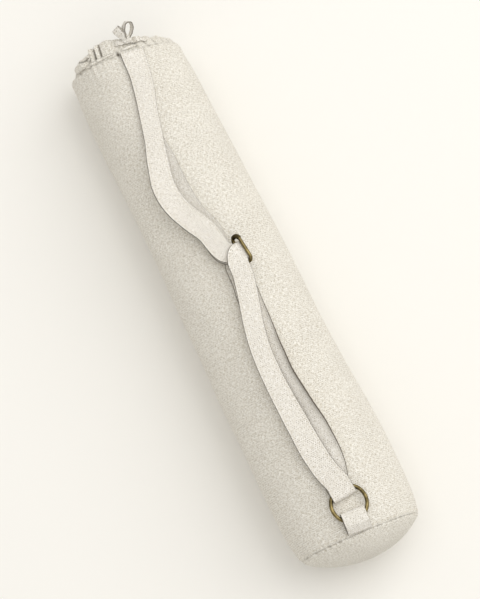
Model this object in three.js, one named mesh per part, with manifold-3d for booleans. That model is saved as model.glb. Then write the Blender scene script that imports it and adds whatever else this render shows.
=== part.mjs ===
// A cloth yoga mat bag with a gathered mouth, lying on its back with its strap side up.
// Millimetres, +Z up. The bag's length runs along X: the mouth is at +X and the base at -X.
import * as THREE from 'three';
import { mergeVertices } from 'three/addons/utils/BufferGeometryUtils.js';
import Module from 'manifold-3d';

// Bag
const BODY_LENGTH = 639;      // from the rim seam to the base seam
const BASE_RADIUS = 81.3;
const RIM_RADIUS = 71.5;
const CLOTH = 2;              // wall of the canvas
const BASE_CROWN = 28;        // how far the base panel bulges past its seam
const REST_FLAT = 6;          // how far the underside is pressed flat where it lies
const REST_BLEND = 2;         // height over which the flat underside turns into the round side
const RIM_SKEW = 0.1;         // slope of the rim seam, higher on its left side
const BASE_SKEW = 0.054;      // slope of the base seam
const DENT_DEPTH = 3;

// Gathered mouth
const COLLAR_HEIGHT = 23;     // of its tallest pleat past the rim seam
const COLLAR_RADIUS = 57;     // of its top edge
const COLLAR_WALL = 2.6;      // a band of two plies
const PLEAT_DEPTH = 3.6;

// Straps and their rings
const STRAP_WIDTH = 30;
const STRAP_NECK = 23;        // where a strap bunches up inside the slider
const NECK_EASE = 2;          // how much wider a strap is just before the slider
const STRAP_THICK = 2.4;      // folded and stitched cloth
const STRAP_RISE = 15;        // how high the slack straps stand over the cloth
const RING_WIRE = 4.6;
const RING_ROOM = 7.8;        // how much wider the ring is inside than a strap
const RING_CHORD_GAP = 0.5;   // between the ring's inside and the edges of a strap in it
const RING_TO_SEAM = 35.6;     // from the ring's centre to the base seam
const RING_ACROSS = 6;        // how far the ring lies to the right of the top line
const RING_TURN = 4;          // degrees that the strap's end turns to the right
const TAB_TURN = -4;          // degrees that the tab turns from the ring to the seam
const TAB_SEAM_GAP = 2;       // from the tab's end to the base seam
const SLIDER_WIRE = 4.2;
const SLIDER_SIDE_GAP = 3.2; // between a strap's edge and the slider's end
const SLIDER_ALONG = 278.8;    // from the rim seam to the slider's middle
const SLIDER_ACROSS = 22.4;    // how far the slider's lower bar lies to the right
const SLIDER_TURN = 6.7;      // degrees between the slider's long side and the bag
const SLIDER_TILT = 62;       // degrees that its upper bar is raised
const SLIDER_SHIFT = 1.8;     // how far the slider lies past its straps, towards the mouth
const SLIDER_BEND = 5;        // radius of its corners

// Drawstring
const TAPE_WIDTH = 7;
const LOOP_WIDTH = 9.6;       // of the tape where it opens out in the bow
const TAPE_THICK = 1.8;
const LOOP_LENGTH = 21;
const LOOP_OPEN = 8;
const KNOT_SIZE = 12;

const GAP = 0.4;              // between pieces that touch
const FOLD_SLACK = 0.7;       // extra room between the two straps' folds
const WIRE_GAP = 0.65;        // between a wire and the band folded round it
const AROUND = 44;            // facets round the bag
const COLLAR_AROUND = 88;

// The bag's sections: share of its length, share of the way from rim to base radius,
// and how much the rounded ends draw it in.
const BAG_SECTIONS = [
  { along: 0, taper: 0, ease: 0.921 },
  { along: 0.006, taper: 0, ease: 0.949 },
  { along: 0.028, taper: 0, ease: 0.967 },
  { along: 0.056, taper: 0.01, ease: 0.997 },
  { along: 0.1, taper: 0.08, ease: 1 },
  { along: 0.17, taper: 0.15, ease: 1 },
  { along: 0.25, taper: 0.24, ease: 1 },
  { along: 0.33, taper: 0.32, ease: 1 },
  { along: 0.42, taper: 0.4, ease: 1 },
  { along: 0.51, taper: 0.49, ease: 1 },
  { along: 0.6, taper: 0.6, ease: 1 },
  { along: 0.69, taper: 0.78, ease: 1 },
  { along: 0.77, taper: 0.91, ease: 1 },
  { along: 0.85, taper: 1, ease: 1 },
  { along: 0.91, taper: 1, ease: 0.994 },
  { along: 0.95, taper: 1, ease: 0.983 },
  { along: 0.975, taper: 1, ease: 0.964 },
  { along: 1, taper: 1, ease: 0.92 },
];

// Soft hollows in the body: middle and reach along it as shares of its length,
// middle and spread round it in degrees from the top towards the left, and share of the depth.
const DENTS = [
  { along: 0.045, around: 50, reach: 0.018, spread: 24, depth: 0.8 },
  { along: 0.3, around: 36, reach: 0.1, spread: 14, depth: 0.6 },
  { along: 0.52, around: -38, reach: 0.09, spread: 20, depth: 0.5 },
  { along: 0.62, around: 46, reach: 0.11, spread: 18, depth: 0.7 },
  { along: 0.93, around: 26, reach: 0.03, spread: 9, depth: 0.8 },
  { along: 0.9, around: -62, reach: 0.05, spread: 16, depth: 0.5 },
  { along: 0.22, around: -76, reach: 0.08, spread: 22, depth: 0.6 },
  { along: 0.4, around: 92, reach: 0.1, spread: 20, depth: 0.7 },
  { along: 0.76, around: 104, reach: 0.07, spread: 18, depth: 0.8 },
  { along: 0.7, around: -98, reach: 0.09, spread: 20, depth: 0.7 },
];

// The base panel's rings: share of its radius. Its bulge is worked out from them.
const CROWN_RINGS = [1, 0.965, 0.91, 0.82, 0.68, 0.48, 0.25];
const CROWN_POWER = 0.8;

// The collar's height and radius round the mouth, as shares of the named sizes.
const COLLAR_OUTLINE = [
  { around: -180, height: 0.55, radius: 1 },
  { around: -120, height: 0.5, radius: 1.02 },
  { around: -75, height: 0.36, radius: 1.08 },
  { around: -45, height: 0.47, radius: 1.08 },
  { around: -24, height: 0.67, radius: 1.05 },
  { around: -8, height: 0.78, radius: 1.03 },
  { around: 8, height: 0.98, radius: 1.01 },
  { around: 27, height: 0.94, radius: 1 },
  { around: 46, height: 0.76, radius: 0.98 },
  { around: 72, height: 0.58, radius: 0.98 },
  { around: 120, height: 0.58, radius: 1 },
  { around: 180, height: 0.55, radius: 1 },
];

// The pleats that show at the front of the mouth: place and spread in degrees, share of the depth.
const FRONT_PLEATS = [
  { around: 50, spread: 7, depth: 1.5 },
  { around: 40, spread: 5, depth: -1.2 },
  { around: 31, spread: 4.5, depth: 1.1 },
  { around: 24, spread: 4, depth: -1 },
  { around: 9, spread: 9, depth: 0.4 },
  { around: -37, spread: 5, depth: -0.7 },
  { around: -47, spread: 6, depth: 0.8 },
  { around: -58, spread: 5, depth: -0.7 },
];
const BACK_PLEATS = 13;       // as if all round, faded out at the front
const COLLAR_RINGS = [0, 0.25, 0.5, 0.75, 0.93, 1];

// Strap routes: share of the way along the body, share of the base radius to the right, height
// as a share of the rise, the tilt in degrees, right edge up, and the width as a share.
const UPPER_FRONT = [
  { along: 0.004, right: 0.165, rise: 0.02, tilt: 0, width: 0.97 },
  { along: 0.063, right: 0.11, rise: 0.02, tilt: -2, width: 0.87 },
  { along: 0.123, right: -0.01, rise: 0.12, tilt: -7, width: 0.77 },
  { along: 0.179, right: -0.119, rise: 0.4, tilt: -14, width: 0.77 },
  { along: 0.227, right: -0.225, rise: 0.72, tilt: -24, width: 0.88 },
  { along: 0.274, right: -0.298, rise: 0.95, tilt: -30, width: 0.97 },
  { along: 0.313, right: -0.262, rise: 1, tilt: -26, width: 0.97 },
  { along: 0.35, right: -0.14, rise: 0.98, tilt: -14, width: 0.95 },
  { along: 0.38, right: -0.02, rise: 0.86, tilt: -4, width: 0.9 },
];
const UPPER_TAIL = [
  { along: 0.376, right: 0.02, rise: 0.2, tilt: 0, width: 0.95 },
  { along: 0.333, right: -0.09, rise: 0.05, tilt: 0, width: 1 },
  { along: 0.284, right: -0.13, rise: 0, tilt: 0, width: 1 },
  { along: 0.225, right: -0.15, rise: 0, tilt: 0, width: 1 },
  { along: 0.174, right: -0.19, rise: 0, tilt: 0, width: 0.95 },
];
const LOWER_FRONT = [
  { along: 0.479, right: 0.17, rise: 0.9, tilt: 0, width: 0.85 },
  { along: 0.529, right: 0.077, rise: 0.84, tilt: -2, width: 0.83 },
  { along: 0.575, right: -0.018, rise: 0.8, tilt: -4, width: 0.82 },
  { along: 0.622, right: -0.082, rise: 0.78, tilt: -6, width: 0.82 },
  { along: 0.672, right: -0.104, rise: 0.78, tilt: -8, width: 0.84 },
  { along: 0.724, right: -0.1, rise: 0.76, tilt: -8, width: 0.89 },
  { along: 0.776, right: -0.083, rise: 0.7, tilt: -6, width: 0.95 },
  { along: 0.829, right: -0.062, rise: 0.56, tilt: -3, width: 1 },
  { along: 0.872, right: -0.015, rise: 0.42, tilt: 0, width: 1 },
];
const LOWER_BACK = [
  { along: 0.864, right: 0.12, rise: 0.2, tilt: 8, width: 1 },
  { along: 0.806, right: 0.15, rise: 0.5, tilt: 32, width: 1 },
  { along: 0.747, right: 0.12, rise: 0.62, tilt: 44, width: 1 },
  { along: 0.688, right: 0.065, rise: 0.55, tilt: 38, width: 1 },
  { along: 0.629, right: 0.05, rise: 0.32, tilt: 22, width: 1 },
  { along: 0.57, right: 0.07, rise: 0.1, tilt: 6, width: 1 },
  { along: 0.52, right: 0.1, rise: 0, tilt: 0, width: 0.95 },
  { along: 0.484, right: 0.13, rise: 0, tilt: 0, width: 0.9 },
];
// The same for the rows next to the slider and the ring, in their own frames: towards the base,
// to the right, and up from the turn's height.
const UPPER_AT_SLIDER = { along: -11, right: -17, up: -1.5 };
const LOWER_AT_SLIDER = { along: 10, right: -11, up: 1 };
const SQUARE_RUN = 5;         // how far a strap runs square to a wire before it folds
const RING_APPROACH = 14;     // from the wire to the last row of a strap's route
const TAB_LIFT = 1.5;         // how far the tab's lower ply lies below its fold

const degrees = THREE.MathUtils.degToRad;
const ridge = (distance, spread) => Math.exp(-((distance / spread) ** 2));
const wrapped = (angle) => ((((angle + 180) % 360) + 360) % 360) - 180;

const wasm = await Module();
wasm.setup();

// A smooth value between the rows of a table, straight from row to row with eased joins.
function tableValue(table, key, at, column) {
  const upper = table.findIndex((row) => row[key] >= at);
  if (upper < 0) return table[table.length - 1][column];
  if (upper === 0) return table[0][column];
  const before = table[Math.max(upper - 2, 0)];
  const from = table[upper - 1];
  const to = table[upper];
  const after = table[Math.min(upper + 1, table.length - 1)];
  const span = to[key] - from[key];
  const share = (at - from[key]) / span;
  const slopeFrom = ((to[column] - before[column]) / (to[key] - before[key])) * span;
  const slopeTo = ((after[column] - from[column]) / (after[key] - from[key])) * span;
  const square = share * share;
  const cube = square * share;
  return (2 * cube - 3 * square + 1) * from[column] + (cube - 2 * square + share) * slopeFrom
    + (3 * square - 2 * cube) * to[column] + (cube - square) * slopeTo;
}

// Height above the floor of cloth that lies on it: flat below, untouched above.
function pressed(height) {
  if (height <= -REST_BLEND) return 0;
  if (height >= REST_BLEND) return height;
  return (height + REST_BLEND) ** 2 / (4 * REST_BLEND);
}

// Measures of the bag at a distance from the rim seam.
function bagSection(distance) {
  const along = distance / BODY_LENGTH;
  const taper = tableValue(BAG_SECTIONS, 'along', along, 'taper');
  const full = THREE.MathUtils.lerp(RIM_RADIUS, BASE_RADIUS, taper);
  return {
    along,
    radius: full * tableValue(BAG_SECTIONS, 'along', along, 'ease'),
    axisHeight: full - REST_FLAT,
    skew: THREE.MathUtils.lerp(RIM_SKEW, BASE_SKEW, along),
  };
}

function dentAt(along, around) {
  return DENTS.reduce((sum, dent) => sum + DENT_DEPTH * dent.depth
    * ridge(along - dent.along, dent.reach) * ridge(wrapped(around - dent.around), dent.spread), 0);
}

// A point of the bag's wall. Around is in degrees from the top towards the left.
function bagPoint(distance, around, inset = 0) {
  const { along, radius, axisHeight, skew } = bagSection(distance);
  const reach = radius - inset - dentAt(along, around);
  const y = reach * Math.sin(degrees(around));
  const z = inset + pressed(axisHeight + reach * Math.cos(degrees(around)) - inset);
  return new THREE.Vector3(skew * y - distance, y, z);
}

// A point over the bag's cloth: distance from the rim, how far to the right, and height.
function over(distance, right, height) {
  const { along, radius, axisHeight, skew } = bagSection(distance);
  const around = THREE.MathUtils.radToDeg(Math.asin(-right / (radius + height)));
  const reach = radius - dentAt(along, around) + height;
  return new THREE.Vector3(-skew * right - distance, -right, axisHeight + Math.sqrt(reach ** 2 - right ** 2));
}

function upAt(point) {
  const { axisHeight } = bagSection(THREE.MathUtils.clamp(-point.x, 0, BODY_LENGTH));
  return new THREE.Vector3(0, point.y, point.z - axisHeight).normalize();
}

// A closed geometry from points and triangles, facing outwards.
function closedGeometry(points, triangles) {
  const position = new Float32Array(points.flatMap((point) => point.toArray()));
  const volume = triangles.reduce((sum, [a, b, c]) => sum
    + points[a].dot(new THREE.Vector3().crossVectors(points[b], points[c])), 0);
  const index = triangles.flatMap(([a, b, c]) => (volume > 0 ? [a, b, c] : [a, c, b]));
  const geometry = new THREE.BufferGeometry();
  geometry.setAttribute('position', new THREE.BufferAttribute(position, 3));
  geometry.setIndex(index);
  return geometry;
}

// Triangles between neighbouring rings of equal count, each ring closed on itself.
function bridge(triangles, firstStart, secondStart, count) {
  for (let i = 0; i < count; i += 1) {
    const next = (i + 1) % count;
    triangles.push([firstStart + i, secondStart + i, secondStart + next]);
    triangles.push([firstStart + i, secondStart + next, firstStart + next]);
  }
}

// A surface of closed rings, joined one after another. With ring ends given as points, it is
// closed by a fan at each; without them, the last ring joins the first.
function ringSolid(rings, startPoint, endPoint) {
  const count = rings[0].length;
  const points = rings.flat();
  const triangles = [];
  for (let i = 0; i + 1 < rings.length; i += 1) bridge(triangles, i * count, (i + 1) * count, count);
  if (startPoint) {
    points.push(startPoint, endPoint);
    const last = (rings.length - 1) * count;
    for (let i = 0; i < count; i += 1) {
      const next = (i + 1) % count;
      triangles.push([points.length - 2, i, next]);
      triangles.push([points.length - 1, last + next, last + i]);
    }
  } else {
    bridge(triangles, (rings.length - 1) * count, 0, count);
  }
  return closedGeometry(points, triangles);
}

function ringOf(count, pointAt) {
  return Array.from({ length: count }, (_, i) => pointAt((360 * i) / count));
}

// A flat band along stations of { point, side, width }, open or joined into a loop.
function bandSolid(stations, thickness, looped = false) {
  const count = stations.length;
  const rings = stations.map(({ point, side, width }, i) => {
    const before = stations[looped ? (i + count - 1) % count : Math.max(i - 1, 0)].point;
    const after = stations[looped ? (i + 1) % count : Math.min(i + 1, count - 1)].point;
    const heading = after.clone().sub(before).normalize();
    const across = side.clone().addScaledVector(heading, -side.dot(heading)).normalize();
    const face = new THREE.Vector3().crossVectors(heading, across);
    return [[0.5, 0.5], [-0.5, 0.5], [-0.5, -0.5], [0.5, -0.5]].map(([u, v]) => point.clone()
      .addScaledVector(across, u * width).addScaledVector(face, v * thickness));
  });
  if (looped) return ringSolid(rings);
  const centre = (ring) => ring.reduce((sum, p) => sum.add(p), new THREE.Vector3()).divideScalar(4);
  return ringSolid(rings, centre(rings[0]), centre(rings[count - 1]));
}

// A half turn of a band round a wire, from above it to below it, heading out.
function halfTurn(frame, radius, side, width, fromBelow = false) {
  const steps = 8;
  return Array.from({ length: steps + 1 }, (_, i) => {
    const angle = (Math.PI * i) / steps;
    const up = Math.cos(angle) * (fromBelow ? -radius : radius);
    return {
      point: frame.origin.clone().addScaledVector(frame.out, Math.sin(angle) * radius)
        .addScaledVector(frame.up, up),
      side,
      width,
    };
  });
}

// Stations of a band along control rows of { point, tilt, width }. The band's right edge is on
// the heading's left side when it runs towards the base, and on its right side when it runs back.
function laid(rows, backwards) {
  const curve = new THREE.CatmullRomCurve3(rows.map((row) => row.point), false, 'centripetal');
  const steps = (rows.length - 1) * 3;
  return Array.from({ length: steps + 1 }, (_, i) => {
    const at = (i / steps) * (rows.length - 1);
    const low = Math.min(Math.floor(at), rows.length - 2);
    const share = at - low;
    const blend = share * share * (3 - 2 * share);
    const mix = (key) => THREE.MathUtils.lerp(rows[low][key], rows[low + 1][key], blend);
    const point = curve.getPoint(i / steps);
    const heading = curve.getTangent(i / steps);
    const up = upAt(point);
    const flat = new THREE.Vector3().crossVectors(up, heading).normalize().multiplyScalar(backwards ? -1 : 1);
    const risen = new THREE.Vector3().crossVectors(heading, flat).multiplyScalar(backwards ? -1 : 1);
    const tilt = degrees(mix('tilt'));
    const side = flat.multiplyScalar(Math.cos(tilt)).addScaledVector(risen, Math.sin(tilt));
    return { point, side, width: mix('width') };
  });
}

const strapSeat = STRAP_THICK / 2 + GAP;
const plyGap = STRAP_THICK + GAP;

function routeRows(table, seat) {
  return table.map(({ along, right, rise, tilt, width }) => ({
    point: over(along * BODY_LENGTH, right * BASE_RADIUS, seat + rise * STRAP_RISE),
    tilt,
    width: width * STRAP_WIDTH,
  }));
}

// A frame over the cloth: out to the base, right, and up.
function frameOver(distance, right, height, turn = 0) {
  const origin = over(distance, right, height);
  const toBase = over(distance + 1, right, height).sub(over(distance - 1, right, height)).normalize();
  const up = upAt(origin);
  up.addScaledVector(toBase, -up.dot(toBase)).normalize();
  toBase.applyAxisAngle(up, degrees(turn));
  return { origin, up, toBase, toRight: new THREE.Vector3().crossVectors(up, toBase) };
}

function local(frame, along, right, up) {
  return frame.origin.clone().addScaledVector(frame.toBase, along)
    .addScaledVector(frame.toRight, right).addScaledVector(frame.up, up);
}

// Slider: the two straps fold round its lower bar, the upper strap inside the lower one.
const innerTurn = SLIDER_WIRE / 2 + WIRE_GAP + STRAP_THICK / 2;
const outerTurn = innerTurn + plyGap + FOLD_SLACK;
const barHeight = outerTurn + strapSeat + FOLD_SLACK;
const barSpacing = outerTurn + STRAP_THICK / 2 + GAP + SLIDER_WIRE / 2 + 0.6;
const sliderFrame = frameOver(SLIDER_ALONG, SLIDER_ACROSS, barHeight, SLIDER_TURN);
const sliderInside = STRAP_NECK + 2 * SLIDER_SIDE_GAP;

// Ring: the strap and the tab each fold round its wire, as near to it as their width lets them.
const ringInside = (STRAP_WIDTH + RING_ROOM) / 2;
const ringTurn = RING_WIRE / 2 + WIRE_GAP + STRAP_THICK / 2;
const ringHeight = ringTurn + strapSeat + 0.3;
const ringFrame = frameOver(BODY_LENGTH - RING_TO_SEAM, RING_ACROSS, ringHeight, RING_TURN);
const tabFrame = frameOver(BODY_LENGTH - RING_TO_SEAM, RING_ACROSS, ringHeight, TAB_TURN);
const wireChord = Math.sqrt(ringInside ** 2 - (STRAP_WIDTH / 2 + RING_CHORD_GAP) ** 2) + RING_WIRE / 2;

function bagTube() {
  const outer = BAG_SECTIONS.map(({ along }) => ringOf(AROUND, (a) => bagPoint(along * BODY_LENGTH, a)));
  const inner = BAG_SECTIONS.map(({ along }) => ringOf(AROUND, (a) => bagPoint(along * BODY_LENGTH, a, CLOTH)));
  return ringSolid([...outer, ...inner.reverse()]);
}

function basePanel() {
  const start = BODY_LENGTH;
  const { axisHeight } = bagSection(start);
  const crownPoint = (share, around, inset) => {
    const edge = bagPoint(start, around, inset);
    const bulge = (BASE_CROWN - inset) * (1 - share ** 2) ** CROWN_POWER;
    return new THREE.Vector3(edge.x + (share - 1) * BASE_SKEW * edge.y - GAP - bulge,
      edge.y * share, axisHeight + (edge.z - axisHeight) * share);
  };
  const outer = CROWN_RINGS.map((share) => ringOf(AROUND, (a) => crownPoint(share, a, 0)));
  const inner = CROWN_RINGS.map((share) => ringOf(AROUND, (a) => crownPoint(share, a, CLOTH)));
  return ringSolid([...inner.reverse(), ...outer], crownPoint(0, 0, CLOTH), crownPoint(0, 0, 0));
}

// A point of the collar's wall: share of its height, degrees round the mouth.
function collarPoint(share, around, inset) {
  const turn = wrapped(around);
  const { radius, axisHeight, skew } = bagSection(0);
  const height = COLLAR_HEIGHT * tableValue(COLLAR_OUTLINE, 'around', turn, 'height');
  const top = COLLAR_RADIUS * tableValue(COLLAR_OUTLINE, 'around', turn, 'radius');
  const front = FRONT_PLEATS.reduce((sum, pleat) => sum
    + pleat.depth * ridge(turn - pleat.around, pleat.spread), 0);
  const back = Math.sin(degrees(BACK_PLEATS * turn)) * (1 - ridge(turn, 75));
  const ripple = PLEAT_DEPTH * (front + back) * share ** 0.8;
  const reach = THREE.MathUtils.lerp(radius, top, share ** 0.7) + ripple - inset;
  const y = reach * Math.sin(degrees(turn));
  const z = inset + pressed(axisHeight + reach * Math.cos(degrees(turn)) - inset);
  return new THREE.Vector3(skew * y + GAP + share * height, y, z);
}

function gatheredCollar() {
  const outer = COLLAR_RINGS.map((share) => ringOf(COLLAR_AROUND, (a) => collarPoint(share, a, 0)));
  const inner = COLLAR_RINGS.map((share) => ringOf(COLLAR_AROUND, (a) => collarPoint(share, a, COLLAR_WALL)));
  return ringSolid([...outer, ...inner.reverse()]);
}

function shoulderStrap() {
  const neck = { tilt: 0, width: STRAP_NECK };
  const eased = { tilt: 0, width: STRAP_NECK + NECK_EASE };
  const out = sliderFrame.toRight;
  const side = sliderFrame.toBase.clone().negate();
  const turn = { origin: sliderFrame.origin, out, up: sliderFrame.up };
  const { along, right, up } = UPPER_AT_SLIDER;
  const front = laid([
    ...routeRows(UPPER_FRONT, strapSeat),
    { point: local(sliderFrame, along, right, innerTurn + up), ...eased },
    { point: local(sliderFrame, 0, -SQUARE_RUN, innerTurn), ...neck },
    { point: local(sliderFrame, 0, 0, innerTurn), ...neck },
  ], false);
  const tail = laid([
    { point: local(sliderFrame, 0, 0, -innerTurn), ...neck },
    { point: local(sliderFrame, 0, -SQUARE_RUN, -innerTurn), ...neck },
    { point: local(sliderFrame, along, right, -innerTurn - up), ...eased },
    ...routeRows(UPPER_TAIL, strapSeat),
  ], true);
  const fold = halfTurn(turn, innerTurn, side, STRAP_NECK).slice(1, -1);
  return bandSolid([...front, ...fold, ...tail], STRAP_THICK);
}

function lowerStrap() {
  const neck = { tilt: 0, width: STRAP_NECK };
  const eased = { tilt: 0, width: STRAP_NECK + NECK_EASE };
  const flat = { tilt: 0, width: STRAP_WIDTH };
  const sliderTurn = { origin: sliderFrame.origin, out: sliderFrame.toRight, up: sliderFrame.up };
  const ringTurnFrame = {
    origin: local(ringFrame, -wireChord, 0, 0),
    out: ringFrame.toBase,
    up: ringFrame.up,
  };
  const { along, right, up } = LOWER_AT_SLIDER;
  const front = laid([
    { point: local(sliderFrame, 0, 0, outerTurn), ...neck },
    { point: local(sliderFrame, 0, -SQUARE_RUN, outerTurn), ...neck },
    { point: local(sliderFrame, along, right, outerTurn + up), ...eased },
    ...routeRows(LOWER_FRONT, strapSeat),
    { point: local(ringFrame, -wireChord - RING_APPROACH, 0, ringTurn + up), ...flat },
    { point: local(ringFrame, -wireChord - SQUARE_RUN, 0, ringTurn), ...flat },
    { point: local(ringFrame, -wireChord, 0, ringTurn), ...flat },
  ], false);
  const back = laid([
    { point: local(ringFrame, -wireChord, 0, -ringTurn), ...flat },
    { point: local(ringFrame, -wireChord - SQUARE_RUN, 0, -ringTurn), ...flat },
    { point: local(ringFrame, -wireChord - RING_APPROACH, 0, -ringTurn), ...flat },
    ...routeRows(LOWER_BACK, strapSeat),
    { point: local(sliderFrame, along, right, -outerTurn - up), ...eased },
    { point: local(sliderFrame, 0, -SQUARE_RUN, -outerTurn), ...neck },
    { point: local(sliderFrame, 0, 0, -outerTurn), ...neck },
  ], true);
  const ringFold = halfTurn(ringTurnFrame, ringTurn, ringFrame.toRight, STRAP_WIDTH).slice(1, -1);
  const sliderFold = halfTurn(sliderTurn, outerTurn, sliderFrame.toBase, STRAP_NECK, true).slice(1, -1);
  return bandSolid([...front, ...ringFold, ...back, ...sliderFold], STRAP_THICK, true);
}

function ringTab() {
  const flat = { tilt: 0, width: STRAP_WIDTH };
  const turn = {
    origin: local(tabFrame, wireChord, 0, 0),
    out: tabFrame.toBase.clone().negate(),
    up: tabFrame.up,
  };
  const pastWire = ringInside + RING_WIRE + 1;
  const seamRight = RING_ACROSS + Math.tan(degrees(TAB_TURN)) * RING_TO_SEAM;
  const seamEnd = (height) => over(BODY_LENGTH - TAB_SEAM_GAP, seamRight, height);
  const upper = laid([
    { point: seamEnd(strapSeat + plyGap), ...flat },
    { point: local(tabFrame, pastWire, 0, ringTurn), ...flat },
    { point: local(tabFrame, wireChord + SQUARE_RUN, 0, ringTurn), ...flat },
    { point: local(tabFrame, wireChord, 0, ringTurn), ...flat },
  ], true);
  const lower = laid([
    { point: local(tabFrame, wireChord, 0, -ringTurn), ...flat },
    { point: local(tabFrame, wireChord + SQUARE_RUN, 0, -ringTurn), ...flat },
    { point: local(tabFrame, pastWire, 0, -ringTurn - TAB_LIFT), ...flat },
    { point: seamEnd(strapSeat), ...flat },
  ], false);
  const fold = halfTurn(turn, ringTurn, tabFrame.toRight, STRAP_WIDTH).slice(1, -1);
  return bandSolid([...upper, ...fold, ...lower], STRAP_THICK);
}

// A round wire along a closed path in the plane of two directions.
function wireLoop(origin, first, second, pathPoints, wire, sides) {
  const normal = new THREE.Vector3().crossVectors(first, second).normalize();
  const centres = pathPoints.map(([u, v]) => origin.clone()
    .addScaledVector(first, u).addScaledVector(second, v));
  const count = centres.length;
  return ringSolid(centres.map((centre, i) => {
    const heading = centres[(i + 1) % count].clone().sub(centres[(i + count - 1) % count]).normalize();
    const across = new THREE.Vector3().crossVectors(normal, heading);
    return ringOf(sides, (a) => centre.clone()
      .addScaledVector(across, (wire / 2) * Math.cos(degrees(a)))
      .addScaledVector(normal, (wire / 2) * Math.sin(degrees(a))));
  }));
}

function baseRing() {
  const radius = ringInside + RING_WIRE / 2;
  const path = ringOf(36, (a) => [radius * Math.cos(degrees(a)), radius * Math.sin(degrees(a))]);
  return wireLoop(ringFrame.origin, ringFrame.toBase, ringFrame.toRight, path, RING_WIRE, 10);
}

function sliderLoop() {
  const tilt = degrees(SLIDER_TILT);
  const raised = sliderFrame.toRight.clone().multiplyScalar(Math.cos(tilt))
    .addScaledVector(sliderFrame.up, Math.sin(tilt));
  const halfLength = sliderInside / 2 + SLIDER_WIRE / 2;
  const halfSpacing = barSpacing / 2;
  const corner = Math.min(halfSpacing, SLIDER_BEND);
  const quarter = 5;
  const corners = [[1, 1], [-1, 1], [-1, -1], [1, -1]];
  const path = corners.flatMap(([u, v], i) => Array.from({ length: quarter + 1 }, (_, k) => {
    const angle = degrees(90 * i + (90 * k) / quarter);
    return [u * (halfLength - corner) + corner * Math.cos(angle) - SLIDER_SHIFT,
      halfSpacing + v * (halfSpacing - corner) + corner * Math.sin(angle)];
  }));
  return wireLoop(sliderFrame.origin, sliderFrame.toBase, raised, path, SLIDER_WIRE, 8);
}

function solidFrom(geometry) {
  const bare = geometry.clone();
  bare.deleteAttribute('normal');
  bare.deleteAttribute('uv');
  const merged = mergeVertices(bare, 1e-4);
  return new wasm.Manifold(new wasm.Mesh({
    numProp: 3,
    vertProperties: merged.attributes.position.array,
    triVerts: new Uint32Array(merged.index.array),
  }));
}

function geometryFrom(solid) {
  const mesh = solid.getMesh();
  const geometry = new THREE.BufferGeometry();
  geometry.setAttribute('position', new THREE.BufferAttribute(new Float32Array(mesh.vertProperties), 3));
  geometry.setIndex(new THREE.BufferAttribute(new Uint32Array(mesh.triVerts), 1));
  return geometry;
}

// Drawstring: a flat tape across the front of the collar, tied in a bow with two loops.
const TAPE_FROM = 0;          // degrees round the mouth, from left
const TAPE_TO = -34;
const TAPE_SHARE = 0.72;      // where it lies on the collar's height
const TAPE_LIFT = 0.9;        // how much looser than snug it lies on the pleats
const KNOT_AT = -13;
const KNOT_SHAPE = [0.9, 1.05, 0.66];
const KNOT_OUT = 2.9;         // how far its middle lies over the tape
const KNOT_PAST = 2;          // and past it, away from the bag
const LOOPS = [
  { out: [0.9, 0.36, 0.2], face: [-0.2, 0.25, 0.95], length: 0.88, open: 0.85 },
  { out: [0.83, -0.5, 0.2], face: [0.42, 0.76, 0.4], length: 1, open: 1.15 },
];
const LOOP_SHAPE = [
  { out: 0, open: 0.12 },
  { out: 0.3, open: 0.42 },
  { out: 0.72, open: 0.56 },
  { out: 0.97, open: 0.3 },
  { out: 0.97, open: -0.3 },
  { out: 0.72, open: -0.56 },
  { out: 0.3, open: -0.42 },
  { out: 0, open: -0.12 },
];

function tapeStation(around) {
  const outset = TAPE_THICK / 2 + GAP + TAPE_LIFT;
  const side = collarPoint(1, around, -outset).sub(collarPoint(0.5, around, -outset)).normalize();
  return { point: collarPoint(TAPE_SHARE, around, -outset), side, width: TAPE_WIDTH };
}

function drawstringBow() {
  const steps = 9;
  const stations = Array.from({ length: steps + 1 }, (_, i) => (
    tapeStation(THREE.MathUtils.lerp(TAPE_FROM, TAPE_TO, i / steps))
  ));
  const { point: tied } = tapeStation(KNOT_AT);
  const knotCentre = tied.clone().addScaledVector(upAt(tied), KNOT_OUT);
  knotCentre.x += KNOT_PAST;
  const knot = new THREE.SphereGeometry(KNOT_SIZE / 2, 14, 9).scale(...KNOT_SHAPE)
    .translate(knotCentre.x, knotCentre.y, knotCentre.z);
  const loops = LOOPS.map(({ out, face, length, open }) => {
    const outward = new THREE.Vector3(...out).normalize();
    const facing = new THREE.Vector3(...face);
    facing.addScaledVector(outward, -facing.dot(outward)).normalize();
    const side = new THREE.Vector3().crossVectors(outward, facing);
    const curve = new THREE.CatmullRomCurve3(LOOP_SHAPE.map((row) => knotCentre.clone()
      .addScaledVector(outward, row.out * length * LOOP_LENGTH)
      .addScaledVector(facing, row.open * open * LOOP_OPEN)));
    const path = curve.getPoints(20).map((point) => ({ point, side, width: LOOP_WIDTH }));
    return bandSolid(path, TAPE_THICK);
  });
  const parts = [bandSolid(stations, TAPE_THICK), knot, ...loops].map(solidFrom);
  return geometryFrom(parts.reduce((sum, part) => sum.add(part)));
}

const canvas = { color: 0xe6dfd1, roughness: 0.93, metalness: 0 };
const webbing = { color: 0xe8e2d5, roughness: 0.92, metalness: 0 };
const brass = { color: 0x8a7448, roughness: 0.3, metalness: 1 };

const PIECES = [
  ['bag_tube', bagTube, canvas],
  ['base_panel', basePanel, canvas],
  ['gathered_collar', gatheredCollar, canvas],
  ['drawstring_bow', drawstringBow, webbing],
  ['shoulder_strap', shoulderStrap, webbing],
  ['slider_loop', sliderLoop, brass],
  ['lower_strap', lowerStrap, webbing],
  ['base_ring', baseRing, brass],
  ['ring_tab', ringTab, webbing],
];

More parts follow.
